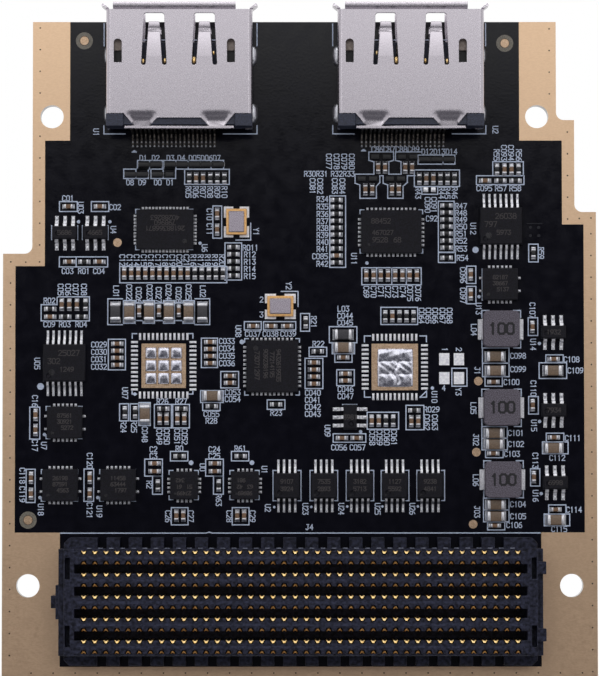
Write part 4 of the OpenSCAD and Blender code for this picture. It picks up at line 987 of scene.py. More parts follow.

# %% [markdown]
# Each socket has 20 contacts in two rows. They run back out of the plastic, drop right behind it, slope
# gently down to the board and end in small flat feet. They are strips along a path, as the leads are, but
# with a steeper drop. The metal mirrors the dark room behind the shell, and that is painted shade: its
# colour is darker than the leads'. Solder stands up before each toe and behind each heel, as two small domes.

# %% Socket contacts
# Painted shade: the tails' metal is painted darker for the dark room that it mirrors.
shaded_tail_metal = finish("shaded_tail_metal", tone(56, 52, 50), tone(112, 106, 100), 0.3, (0.22, 0.4), metal=1,
                    bump=0.006, bump_grain=0.1)
CONTACT_THICK = 0.15
CONTACT_WIDE = 0.24
CONTACT_BEND = 0.12
# Distances behind the board's front edge: the knees of the upper and lower row, the drop, heel and toe
KNEES = (12.98, 12.9)
DROP = 0.16
DROP_LOW = 0.6
HEEL_AT = 14.05
TOE_AT = 14.55
SEAT = LAND_THICK + CONTACT_THICK / 2
tail_spots = []
tail_sizes = []
for side in ("left", "right"):
    name = side + "_socket_contacts"
    low, high = solids_of(name)
    upper_row = high[:, 2] > (high[:, 2].min() + high[:, 2].max()) / 2
    tails = []
    for row, knee in zip((upper_row, ~upper_row), KNEES):
        start = high[row][0, 1]
        top = high[row][0, 2] - CONTACT_THICK / 2
        front = FRONT_Y - start
        path = rounded_path([(0, top), (knee - front, top), (knee + DROP - front, DROP_LOW),
                             (HEEL_AT - front, SEAT), (TOE_AT - front, SEAT)], CONTACT_BEND, steps=4)
        tail = strip_shape(path, CONTACT_WIDE, CONTACT_THICK)
        root = (low + high)[row] / 2
        root[:, 1] = start
        root[:, 2] = 0
        tails.append(repeated(tail, root, (0, -1), (1, 1, 1)))
    add_piece(side + "_socket_tails", joined(tails), shaded_tail_metal, "contact_tin", [name])
    for place, height in ((TOE_AT - 0.02, 0.2), (HEEL_AT + 0.03, 0.3)):
        spot = (low + high) / 2
        spot[:, 1] = FRONT_Y - place
        spot[:, 2] = LAND_THICK
        tail_spots.append(spot)
        tail_sizes.append(np.tile([0.17, 0.13, height], (len(spot), 1)))
tail_domes = repeated(DOME, np.concatenate(tail_spots), (0, 1), np.concatenate(tail_sizes))
add_piece("tail_solder", tail_domes, solder, "tinned")

# %% [markdown]
# The slots of the shells let one look inside: at the front edge of the plastic, at the golden tips of
# springs, and in the two outer slots at a bent steel plate in front of deep shade. Modelling all of
# the inside would be wasted, and dark slots would look painted on. So only what shows is made, as small
# rounded blocks and domes, and the shell hides the rest. The light on the plastic's edge is a painted
# highlight, and the shade behind each plate is painted as a near-black block.

# %% Parts seen through the slots
latch_steel = finish("latch_steel", tone(118, 108, 102), tone(150, 140, 134), 0.3, (0.45, 0.6), metal=1)
# Painted highlight: the light caught by the plastic's front edge is this pale colour on thin blocks.
painted_edge_highlight = finish("painted_edge_highlight", tone(128, 134, 158), tone(168, 172, 190), 0.2, (0.3, 0.5))
# Painted light: this gold is painted pale for the front lamp that the front rows and the spring tips mirror.
lit_gold = finish("lit_gold", tone(228, 184, 112), tone(255, 226, 168), 0.2, (0.2, 0.35), metal=1,
                     bump=0.004, bump_grain=0.1, tint=0.15)
LATCH_X = (-7.05, 5.95)
# Golden glints: X from the shell's middle, distance behind the front edge, and radius
GLINTS = [(-4.15, 5.35, 0.17), (-1.65, 5.3, 0.17), (1.7, 5.25, 0.24), (3.95, 4.4, 0.14)]
GLINT_Z = 5.85
# Half the width, then Y and Z of the lowest and of the highest corner
EDGE_BOX = (0.3, 62.68, 5.86, 62.8, 5.95)
PLATE_BOX = (0.55, 61.6, 5.2, 63.1, 5.45)
BLOCK_BOX = (0.55, 59.6, 4.2, 61.6, 5.1)
EDGE_X = 1.12
edges = []
plates = []
shade_blocks = []
glint_at = []
glint_size = []


def box_at(x, half, low_y, low_z, high_y, high_z):
    """A box half as wide as told to both sides of X."""
    return [(x - half, low_y, low_z), (x + half, high_y, high_z)]


for side, mirror in (("left", 1), ("right", -1)):
    middle = shell_middle(side)
    for finger in (middle - FINGER_X, middle + FINGER_X):
        edges += [box_at(finger - EDGE_X, *EDGE_BOX), box_at(finger + EDGE_X, *EDGE_BOX)]
    for latch in LATCH_X:
        plates.append(box_at(middle + latch, *PLATE_BOX))
        shade_blocks.append(box_at(middle + latch, *BLOCK_BOX))
    for x, back, radius in GLINTS:
        glint_at.append((middle + mirror * x, FRONT_Y - back, GLINT_Z))
        glint_size.append((radius, radius * 1.8, 0.12))
block_piece("plastic_edges", edges, 0.04, painted_edge_highlight, "socket_plastic", smooth=False)
block_piece("latch_plates", plates, 0.04, latch_steel, "shell_steel", smooth=False)
# Painted shade: a near-black block stands for the shade under each latch plate.
block_piece("latch_shade_blocks", shade_blocks, 0.04, diode_plastic_and_shade, "socket_plastic", smooth=False)
glints = repeated(DOME, np.array(glint_at), (1, 0), np.array(glint_size))
# The tips take the lit gold, so their pale colour is a painted highlight.
add_piece("spring_tips", glints, lit_gold, "contact_gold")

# %% [markdown]
# Two places on the board have no chip. Their gold pads carry bare solder, printed as paste and melted with
# all the rest: on the left it drew together into pillows, on the right into one wrinkled pool. It could be
# sculpted. A grid of heights is enough, because this solder never overhangs, and a formula with a few
# waves gives the same crown, dents and folds on every run.

# %% Skins of melted solder
def melted(low, high, cells, height):
    """A closed skin between two corners. height gives the share of the full height at X and Y, from -1
    to 1. It is multiplied by the root of (1 less X to the sixth) times (1 less Y to the sixth), so that
    it falls steeply to the pad at its rim."""
    across, along = np.meshgrid(np.linspace(-1, 1, cells), np.linspace(-1, 1, cells), indexing="ij")
    rim = np.clip((1 - across ** 6) * (1 - along ** 6), 0, 1) ** 0.5
    share = np.clip(height(across, along), 0.15, 1.2) * rim
    round_x = across * (1 - 0.03 * along ** 4)
    round_y = along * (1 - 0.03 * across ** 4)
    middle = (low + high) / 2
    half = (high - low) / 2
    points = np.stack([middle[0] + round_x * half[0], middle[1] + round_y * half[1],
                       low[2] + share * (high[2] - low[2])], axis=-1).reshape(-1, 3)
    order = np.arange(cells * cells).reshape(cells, cells)
    rim_loop = np.concatenate([order[0, :-1], order[:-1, -1], order[-1, :0:-1], order[:0:-1, 0]])
    return points, [grid_faces(cells, cells)[:, ::-1], rim_loop[None]]


def pillow(seed):
    """A pillow: a crown that falls with the squares of X and Y, less a bell-shaped dent at the rear edge,
    plus small waves. The seed moves the dent and the waves."""
    shift = np.random.default_rng(seed).uniform(0, 6, 4)

    def height(x, y):
        crown = 0.95 - 0.3 * (x ** 2 + y ** 2) / 2
        dent = 0.35 * np.exp(-((x - 0.3 * math.sin(shift[0])) / 0.5) ** 2 - ((y + 0.8) / 0.4) ** 2)
        lumps = 0.05 * np.sin(3 * x + shift[1]) * np.sin(2.6 * y + shift[2])
        return crown - dent + lumps
    return height


def wrinkles(x, y):
    """Three bands from rear to front, each half a sine wave that is highest near its front edge, plus
    crossed waves, less a bell-shaped crack that winds along the middle."""
    band = (y * 1.5 + 1.5) % 1
    ridge = 0.45 + 0.45 * np.sin(np.pi * band) ** 0.7 * (0.6 + 0.4 * band)
    folds = 0.16 * np.sin(9 * x + 4 * np.sin(3 * y)) * np.sin(7 * y + 3 * x)
    crack = 0.5 * np.exp(-((x - 0.1 * np.sin(7 * y)) / 0.16) ** 2) * (y < 0.4)
    return ridge + folds - crack


# %% [markdown]
# The CAD holds a low block for each pool of solder. Rounding its edges would still leave a flat tablet, so
# only the block's box is used, which says how far the skin may reach. Small pools have wetted the pad a
# little beyond the printed paste, so they spread by a tenth of a millimetre. The large one has more cells,
# as its folds are finer. The finish is smoother than other solder's.

# %% Bare solder
pool_solder = finish("pool_solder", tone(186, 186, 198), tone(222, 222, 232), 0.3, (0.18, 0.3), metal=1,
                     bump=0.004, bump_grain=0.15)
POOL_SPREAD = np.array([0.1, 0.1, 0])
pool_low, pool_high = solids_of("solder_pools")
pools = []
for number, (low, high) in enumerate(zip(pool_low, pool_high)):
    if high[0] - low[0] > 2:
        pools.append(melted(low, high, 49, wrinkles))
    else:
        pools.append(melted(low - POOL_SPREAD, high + POOL_SPREAD, 17, pillow(number)))
print("pools:", len(pools))
add_piece("bare_solder", joined(pools), pool_solder, "tinned", ["solder_pools"])

# %% [markdown]
# The board connector has 400 spring contacts. From above each one is a small V in its notch, open towards
# the slot, with its tip a little higher than its wings. One could bend a strip for each, but at this
# size only the outline and the slope of the top show. So the V is drawn in plan and carried upwards
# through three rings: the foot, the edge of the top, and the top itself, drawn in to round it.

# %% Shape of a spring contact
SPRING_FOOT = 1.4
SPRING_TOP = 6.24


def vee_shape():
    """A V in plan, X outwards: two wings and a thick root. Its top slopes down along the wings. Each ring is
    the plan, drawn in towards its middle by a share, at its own heights."""
    plan = np.array([(0.08, -0.12), (0.38, -0.31), (0.47, -0.22), (0.36, -0.06), (0.36, 0.06),
                     (0.47, 0.22), (0.38, 0.31), (0.08, 0.12)])
    top = SPRING_TOP - np.array([0, 0.1, 0.1, 0.03, 0.03, 0.1, 0.1, 0])
    levels = [(np.full(8, SPRING_FOOT), 1.0), (top - 0.05, 1.0), (top, 0.8)]
    middle = np.array([0.22, 0])
    points = np.concatenate([np.c_[middle + (plan - middle) * grow, height] for height, grow in levels])
    order = np.arange(24).reshape(3, 8)
    cap = order[2][[[0, 1, 2, 3], [0, 3, 4, 7], [7, 4, 5, 6]]]
    return points, [grid_faces(3, 8, closed=True), cap, order[:1, ::-1]]


VEE = vee_shape()
print("points of a spring contact:", len(VEE[0]))

# %% [markdown]
# The contacts stand in ten rows of forty, in pairs of rows that face each other across a slot. Rows that
# face forwards mirror the front lamp and look pale gold. Those that face the other way look dull and
# coppery. Lights alone don't separate them enough at this size, so they are two pieces with one gold
# painted in two tones: lighter on the front rows as painted light, darker on the rear rows as painted
# shade. The rows are found from the CAD's solids, whose Y values fall into ten groups.

# %% Rows of spring contacts
# Painted shade: the rear rows' gold is painted darker, because they face away from the lamps.
shaded_gold = finish("shaded_gold", tone(214, 152, 84), tone(246, 188, 116), 0.2, (0.3, 0.45), metal=1,
                   bump=0.004, bump_grain=0.1, tint=0.2)
spring_low, spring_high = solids_of("board_connector_contacts")
spring_centre = (spring_low + spring_high) / 2
rows = np.unique(spring_centre[:, 1].round(2))
row_number = np.searchsorted(rows, spring_centre[:, 1].round(2))
faces_rear = row_number % 2 == 0
print("rows of contacts:", len(rows), "contacts:", len(spring_centre))
at = spring_centre.copy()
at[:, 1] = np.where(faces_rear, spring_high[:, 1], spring_low[:, 1])
at[:, 2] = 0
for name, chosen, material, way_y, grow, replaced in (
        ("front_springs", ~faces_rear, lit_gold, 1, 1.0, ["board_connector_contacts"]),
        ("rear_springs", faces_rear, shaded_gold, -1, 0.9, ())):
    vees = repeated(VEE, at[chosen], (0, way_y), (grow, grow, 1))
    springs = add_piece(name, vees, material, "contact_gold", replaced)
    springs.data.set_sharp_from_angle(angle=math.radians(30))

# %% [markdown]
# Along the middles of its ribs, and in short bright dashes between the notches of the front row, the
# black plastic of the connector catches light. These highlights are painted. A mask in the shader could
# paint them, but they follow the rows so exactly that thin paler blocks, a few thousandths of a
# millimetre proud, are simpler, and they stay in place in every view.

# %% Painted highlights on the connector
# Painted highlights: paler blocks along the ribs and between the notches of the front row.
ridge_highlight = finish("painted_ridge_highlight", tone(24, 26, 40), tone(54, 57, 78), 0.3, (0.35, 0.5), specular=0.25)
dash_highlight = finish("painted_dash_highlight", tone(84, 88, 106), tone(128, 132, 150), 0.3, (0.3, 0.45))
RIDGE_Z = float(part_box("board_connector_body")[1][2]) / MM
row_low = spring_low[:, 0].min() - 0.6
row_high = spring_high[:, 0].max() + 0.6
ridges = []
for y in (rows[0::2] + rows[1::2]) / 2:
    ridges.append([(row_low, y - 0.16, RIDGE_Z - 0.05), (row_high, y + 0.16, RIDGE_Z + 0.002)])
columns = np.unique(spring_centre[:, 0].round(2))
dashes = []
for x in (columns[:-1] + columns[1:]) / 2:
    dashes.append([(x - 0.27, rows[-1] + 0.5, RIDGE_Z - 0.05), (x + 0.27, rows[-1] + 0.6, RIDGE_Z + 0.003)])
block_piece("connector_ridges", ridges, 0.02, ridge_highlight, "connector_plastic", smooth=False)
block_piece("connector_dashes", dashes, 0.02, dash_highlight, "connector_plastic", smooth=False)

# %% [markdown]
# The board carries fine white print: a name beside each part, here a plain letter and a running number
# of this model's own. Text objects would turn into thousands of faces for rounded outlines, of which
# nothing shows at this size. So each letter is a few straight strokes on a grid of four by six.

# %% Stroke letters
STROKES = {
    "0": [[(0, 1), (0, 5), (1, 6), (3, 6), (4, 5), (4, 1), (3, 0), (1, 0), (0, 1)]],
    "1": [[(1, 5), (2, 6), (2, 0)]],
    "2": [[(0, 5), (1, 6), (3, 6), (4, 5), (4, 4), (0, 0), (4, 0)]],
    "3": [[(0, 6), (4, 6), (2, 3.6), (4, 2.4), (4, 1), (3, 0), (1, 0), (0, 1)]],
    "4": [[(3, 0), (3, 6), (0, 2), (4, 2)]],
    "5": [[(4, 6), (0, 6), (0, 3.4), (3, 3.6), (4, 2.4), (4, 1), (3, 0), (0, 0)]],
    "6": [[(3.5, 6), (1, 5), (0, 3), (0, 1), (1, 0), (3, 0), (4, 1), (4, 2.4), (3, 3.4), (0, 3)]],
    "7": [[(0, 6), (4, 6), (1.4, 0)]],
    "8": [[(1, 3.2), (0, 4.4), (1, 6), (3, 6), (4, 4.4), (3, 3.2), (1, 3.2), (0, 2), (0, 1), (1, 0),
           (3, 0), (4, 1), (4, 2), (3, 3.2)]],
    "9": [[(0.5, 0), (3, 1), (4, 3), (4, 5), (3, 6), (1, 6), (0, 5), (0, 3.6), (1, 2.6), (4, 3)]],
    "C": [[(4, 5), (3, 6), (1, 6), (0, 5), (0, 1), (1, 0), (3, 0), (4, 1)]],
    "D": [[(0, 0), (0, 6), (2.6, 6), (4, 4.6), (4, 1.4), (2.6, 0), (0, 0)]],
    "J": [[(1, 6), (4, 6)], [(3, 6), (3, 1), (2, 0), (1, 0), (0, 1)]],
    "L": [[(0, 6), (0, 0), (4, 0)]],
    "R": [[(0, 0), (0, 6), (3, 6), (4, 5), (4, 4), (3, 3), (0, 3)], [(2, 3), (4, 0)]],
    "U": [[(0, 6), (0, 1), (1, 0), (3, 0), (4, 1), (4, 6)]],
    "Y": [[(0, 6), (2, 3), (4, 6)], [(2, 3), (2, 0)]]
}
GRID_WIDE = 4
GRID_HIGH = 6
LETTER_WIDE = 0.33
LETTER_HIGH = 0.6
LETTER_STEP = 0.47


def text_bars(words, x, y, turned, high=LETTER_HIGH, wide=LETTER_WIDE, step=LETTER_STEP):
    """The strokes of a word, centred on X and Y, as pairs of points. Each letter's grid is shrunk to its
    size and set a step on from the one before. A turned word reads downwards."""
    bars = []
    start = -(len(words) - 1) * step / 2
    for place, letter in enumerate(words):
        for stroke in STROKES[letter]:
            flat = np.array(stroke, dtype=float)
            flat[:, 0] = (flat[:, 0] / GRID_WIDE - 0.5) * wide + start + place * step
            flat[:, 1] = (flat[:, 1] / GRID_HIGH - 0.5) * high
            if turned:
                flat = np.c_[flat[:, 1], -flat[:, 0]]
            flat += (x, y)
            bars.extend(zip(flat[:-1], flat[1:]))
    return bars


print("strokes of one name:", len(text_bars("C12", 0, 0, False)))

# %% [markdown]
# Printed ink is a film a hundredth of a millimetre thick. A picture of the print could be laid on the
# board, but it blurs in close views. Each stroke is a thin closed box instead. Where two boxes cross at
# the same height, the renderer can't tell which one is on top, so neighbours take turns at five heights.

# %% Strokes as thin bars
LAYER_STEP = 0.0006
LAYERS = 5


def bars_piece(name, bars, width, low, high, material, slot):
    """Thin bars between pairs of points, each a closed box from low to high. Its corners lie half a width
    beyond each end and half a width to both sides. Neighbours differ a little in height."""
    ends = np.array(bars)
    way = ends[:, 1] - ends[:, 0]
    long = np.linalg.norm(way, axis=1, keepdims=True)
    way = way / np.maximum(long, 1e-6)
    side = np.c_[-way[:, 1], way[:, 0]] * width / 2
    start = ends[:, 0] - way * width / 2
    end = ends[:, 1] + way * width / 2
    plan = np.stack([start - side, end - side, end + side, start + side], axis=1)
    top = np.broadcast_to(high, len(ends))[:, None] + LAYER_STEP * (np.arange(len(ends)) % LAYERS)[:, None]
    floor_z = np.broadcast_to(np.reshape(low, (-1, 1, 1)), (len(ends), 4, 1))
    under = np.concatenate([plan, floor_z], axis=2)
    over = np.concatenate([plan, np.repeat(top[:, :, None], 4, axis=1)], axis=2)
    points = np.concatenate([under, over], axis=1).reshape(-1, 3)
    box = np.array([[3, 2, 1, 0], [4, 5, 6, 7], [0, 1, 5, 4], [1, 2, 6, 5], [2, 3, 7, 6], [3, 0, 4, 7]])
    quads = (box[None] + np.arange(len(ends))[:, None, None] * 8).reshape(-1, 4)
    return add_piece(name, (points, [quads]), material, slot, smooth=False)


# %% [markdown]
# The print is laid out as the parts are, in rows and columns. One entry can stand for a whole row: a
# letter, the number of characters, which way it reads and its place, and where names repeat, the step to
# the next one and how many there are. A rule could set the names beside their parts, but where parts are
# close, names move aside as there is room, so a table is shorter.

# %% Names on the left half
FLAT = False
DOWN = True
names = [
    # sockets
    ("U", 2, DOWN, -23.71, 52.74), ("U", 2, DOWN, 22.83, 53.03),
    # top left
    ("C", 3, FLAT, -26.97, 45.02), ("U", 3, DOWN, -25.48, 43.92), ("C", 3, FLAT, -21.49, 43.98),
    ("U", 2, DOWN, -21.68, 41.34), ("C", 3, FLAT, -27, 36.53), ("R", 3, FLAT, -25.1, 36.53),
    ("C", 3, FLAT, -23.35, 36.53),
    # left block
    ("C", 3, DOWN, -27.8, 34.37, 0.87, 0, 3), ("C", 3, DOWN, -25.09, 34.37),
    ("R", 3, FLAT, -29.1, 33.08), ("C", 3, FLAT, -29.11, 30.33),
    ("R", 3, FLAT, -27.3, 30.33, 1.91, 0, 2), ("U", 3, DOWN, -30.49, 25.76),
    # left diodes
    ("D", 2, FLAT, -18.21, 49.73, 1.44, 0, 2), ("D", 2, FLAT, -15.05, 49.73, 1.27, 0, 2),
    ("D", 8, FLAT, -11.06, 49.73), ("D", 2, FLAT, -19.75, 46.87, 1.41, 0, 2),
    ("D", 2, FLAT, -16.52, 46.87, 1.44, 0, 2), ("R", 3, DOWN, -12.95, 45.74, 0.84, 0, 6),
    # left driver chip
    ("U", 2, DOWN, -11.06, 39.21), ("Y", 2, DOWN, -5.06, 41.12),
    ("C", 3, DOWN, -10.49, 43.14, 0, -1.73, 2), ("R", 4, FLAT, -5.72, 39.25),
    ("R", 3, FLAT, -5.8, 38.46, 0, -0.85, 3), ("R", 3, FLAT, -5.8, 35.94),
    ("C", 3, DOWN, -20.63, 37.79, 0.83, 0, 10), ("R", 3, DOWN, -12.36, 37.79, 0.83, 0, 5),
    # row of large capacitors
    ("L", 3, DOWN, -21.35, 34.16), ("L", 3, DOWN, -11.26, 34.16),
    ("C", 4, DOWN, -19.83, 34.07, 2.37, 0, 2), ("C", 4, DOWN, -15.25, 34.07, 2.33, 0, 2),
    ("C", 4, DOWN, -18.72, 33.75, 2.32, 0, 3),
    # left empty place
    ("C", 4, FLAT, -23.32, 27.97, 0, -0.86, 4), ("C", 4, FLAT, -8.46, 28.37, 0, -0.86, 4),
    ("U", 3, DOWN, -20.28, 22.32),
    # control chip
    ("U", 3, DOWN, -7.13, 29.52), ("C", 4, FLAT, -5.45, 29.21, 2.06, 0, 3),
    ("Y", 2, DOWN, -1.27, 34.82), ("2", 1, FLAT, -4.44, 33.2), ("3", 1, FLAT, -4.44, 31.45),
    ("R", 3, DOWN, 1.63, 30.59), ("R", 3, FLAT, 2.17, 28.04), ("C", 4, FLAT, 1.52, 22.36, 0, -0.82, 3),
    ("C", 4, FLAT, 1.52, 19.9), ("L", 3, FLAT, 5.08, 32.13), ("C", 4, FLAT, 5.28, 31.31, 0, -0.8, 2),
    ("C", 4, FLAT, 5.32, 22.77, 0, -0.81, 2), ("R", 3, FLAT, -2.74, 20.03),
    # behind the left empty place
    ("R", 3, DOWN, -20.46, 18.42, 1.22, 0, 2), ("C", 4, DOWN, -17.99, 17.53),
    ("R", 3, FLAT, -15.94, 21.36, 2.18, 0, 2), ("C", 4, DOWN, -16.3, 17.27, 0.86, 0, 2),
    ("C", 4, DOWN, -14.23, 17.27, 0.87, 0, 2), ("C", 4, FLAT, -7.79, 22.41, 0, -0.78, 2),
    ("C", 4, FLAT, -10.25, 19.9), ("R", 3, FLAT, -10.25, 19.11),
]
print("entries on the left half:", len(names))

# %% [markdown]
# The right half goes on in the same way, from the small chips at the middle to the column of regulators,
# and then back along the rear edge. The order matters, because the running numbers follow it.

# %% Names on the right half
names += [
    # small chip group
    ("U", 3, DOWN, 3.22, 17.94), ("C", 4, FLAT, 4.56, 16.01, 2.15, 0, 2),
    ("C", 4, DOWN, 8.42, 17.16, 0.84, 0, 4), ("R", 4, FLAT, 15.32, 20.41),
    ("C", 4, DOWN, 14.77, 18.92, 0.92, 0, 2),
    # right empty place
    ("U", 3, DOWN, 15.65, 21.86), ("C", 4, DOWN, 14.18, 31.32, 0.79, 0, 3),
    ("C", 4, DOWN, 16.61, 31.32, 0.82, 0, 2), ("1", 1, DOWN, 16.87, 27.39),
    ("2", 1, DOWN, 18.5, 27.39), ("4", 1, FLAT, 16.73, 22.9), ("Y", 2, DOWN, 18.44, 22.48),
    # right driver
    ("U", 3, DOWN, 6.33, 37.95), ("C", 3, DOWN, 7.76, 34.1, 0.84, 0, 5), ("C", 3, DOWN, 12, 34.1),
    ("C", 4, DOWN, 12.84, 33.93, 0.94, 0, 2),
    # right socket group
    ("C", 4, DOWN, 3.42, 49.31, 0.89, 0, 3), ("C", 4, DOWN, 6.08, 49.31),
    ("R", 6, FLAT, 1.9, 47.87, 3.13, 0, 2), ("C", 4, DOWN, 1.51, 46.44, 0.88, 0, 2),
    ("C", 4, DOWN, 4.1, 46.44, 0.88, 0, 2), ("R", 3, FLAT, 2.66, 44.91, 0, -0.87, 3),
    ("R", 3, FLAT, 2.66, 42.33, 0, -0.81, 5), ("C", 4, FLAT, 2.37, 38.24), ("R", 3, FLAT, 2.63, 37.37),
    ("C", 12, FLAT, 11.16, 50.74), ("D", 9, FLAT, 16.3, 50.46), ("R", 3, DOWN, 13.8, 45.63, 2.74, 0, 2),
    ("R", 3, DOWN, 17.22, 45.63, 0.84, 0, 2), ("C", 4, DOWN, 14.9, 44.24, 0.75, 0, 2),
    ("C", 3, FLAT, 15.38, 42.64), ("R", 3, FLAT, 18.8, 44.1, 0, -0.8, 4),
    ("R", 3, FLAT, 18.8, 40.88, 0, -0.82, 2), ("R", 3, FLAT, 18.8, 39.12), ("R", 3, FLAT, 18.95, 38.05),
    # right translator group
    ("R", 3, DOWN, 22.95, 50.06, 2.6, 0, 2), ("C", 4, DOWN, 23.82, 50.32, 0.82, 0, 2),
    ("C", 4, FLAT, 21.51, 46.18), ("R", 3, FLAT, 23.44, 46.18, 1.68, 0, 2),
    ("U", 3, DOWN, 20.21, 41.47), ("R", 3, DOWN, 28.1, 38.61), ("C", 4, DOWN, 19, 36.05, 0, -2.39, 2),
    ("U", 3, DOWN, 20.82, 32.13),
    # coils
    ("L", 3, DOWN, 20.25, 29.67), ("L", 3, DOWN, 20.17, 20.56), ("L", 3, DOWN, 20.42, 12.19),
    ("J", 2, DOWN, 20.64, 24.91), ("J", 3, DOWN, 20.46, 16.89), ("J", 3, DOWN, 20.57, 8.54),
    ("C", 4, FLAT, 25.38, 26.64, 0, -1.56, 2), ("C", 4, FLAT, 24.61, 23.59),
    ("C", 4, FLAT, 25.1, 17.67, 0, -1.28, 2), ("C", 4, FLAT, 24.64, 15.25),
    ("C", 4, FLAT, 25.32, 9.41, 0, -1.4, 2), ("C", 4, FLAT, 24.86, 7),
    # right column
    ("C", 4, DOWN, 27.07, 31.93), ("U", 3, DOWN, 27.14, 27.96), ("C", 4, FLAT, 31.6, 26.22),
    ("C", 4, FLAT, 32.04, 24.93), ("C", 4, DOWN, 27.15, 22.86), ("U", 3, DOWN, 27.21, 18.54),
    ("C", 4, FLAT, 31.71, 17.08), ("C", 4, FLAT, 29.89, 14.79), ("C", 4, DOWN, 27.34, 14.47),
    ("U", 3, DOWN, 27.36, 10.38), ("C", 4, FLAT, 31.81, 8.77), ("C", 4, FLAT, 30.09, 6.53),
    # lower left chips
    ("C", 3, DOWN, -30.74, 21.41), ("C", 3, DOWN, -30.74, 16.26), ("U", 2, DOWN, -29.69, 16.22),
    ("C", 4, DOWN, -32.18, 12.74, 0, -2.15, 2), ("U", 3, DOWN, -30.03, 8.82),
    ("C", 4, DOWN, -24.37, 14.47), ("C", 4, DOWN, -24.37, 8.72), ("U", 3, DOWN, -23.24, 8.6),
    ("C", 2, FLAT, -16.98, 15.8, 0, -0.78, 2), ("R", 2, FLAT, -13.97, 15.89),
    ("C", 3, FLAT, -9.91, 15.8, 0, -0.78, 2), ("R", 3, FLAT, -6.9, 15.89),
    ("R", 2, DOWN, -17.45, 11.71), ("R", 3, DOWN, -9.4, 9.9), ("U", 2, DOWN, -11.27, 13.71),
    ("U", 2, DOWN, -4.1, 13.42), ("C", 3, DOWN, -15.27, 8.03, 2.63, 0, 2),
    ("C", 3, DOWN, -8.17, 8.03, 2.69, 0, 2),
    # memory chips
    ("U", 2, DOWN, -3.71, 8.99), ("U", 3, DOWN, 0.65, 8.88), ("U", 3, DOWN, 4.81, 8.88),
    ("U", 3, DOWN, 9.03, 8.88), ("U", 3, DOWN, 13.05, 8.88), ("J", 2, FLAT, 1.11, 6.77),
]
print("entries in all:", len(names))

# %% [markdown]
# Printed frames show which parts belong to which name. Each one is a closed rectangle, given by its left,
# rear, right and front side. They could follow the parts' outlines, but they often share a side or hold
# a whole row, so they are listed.

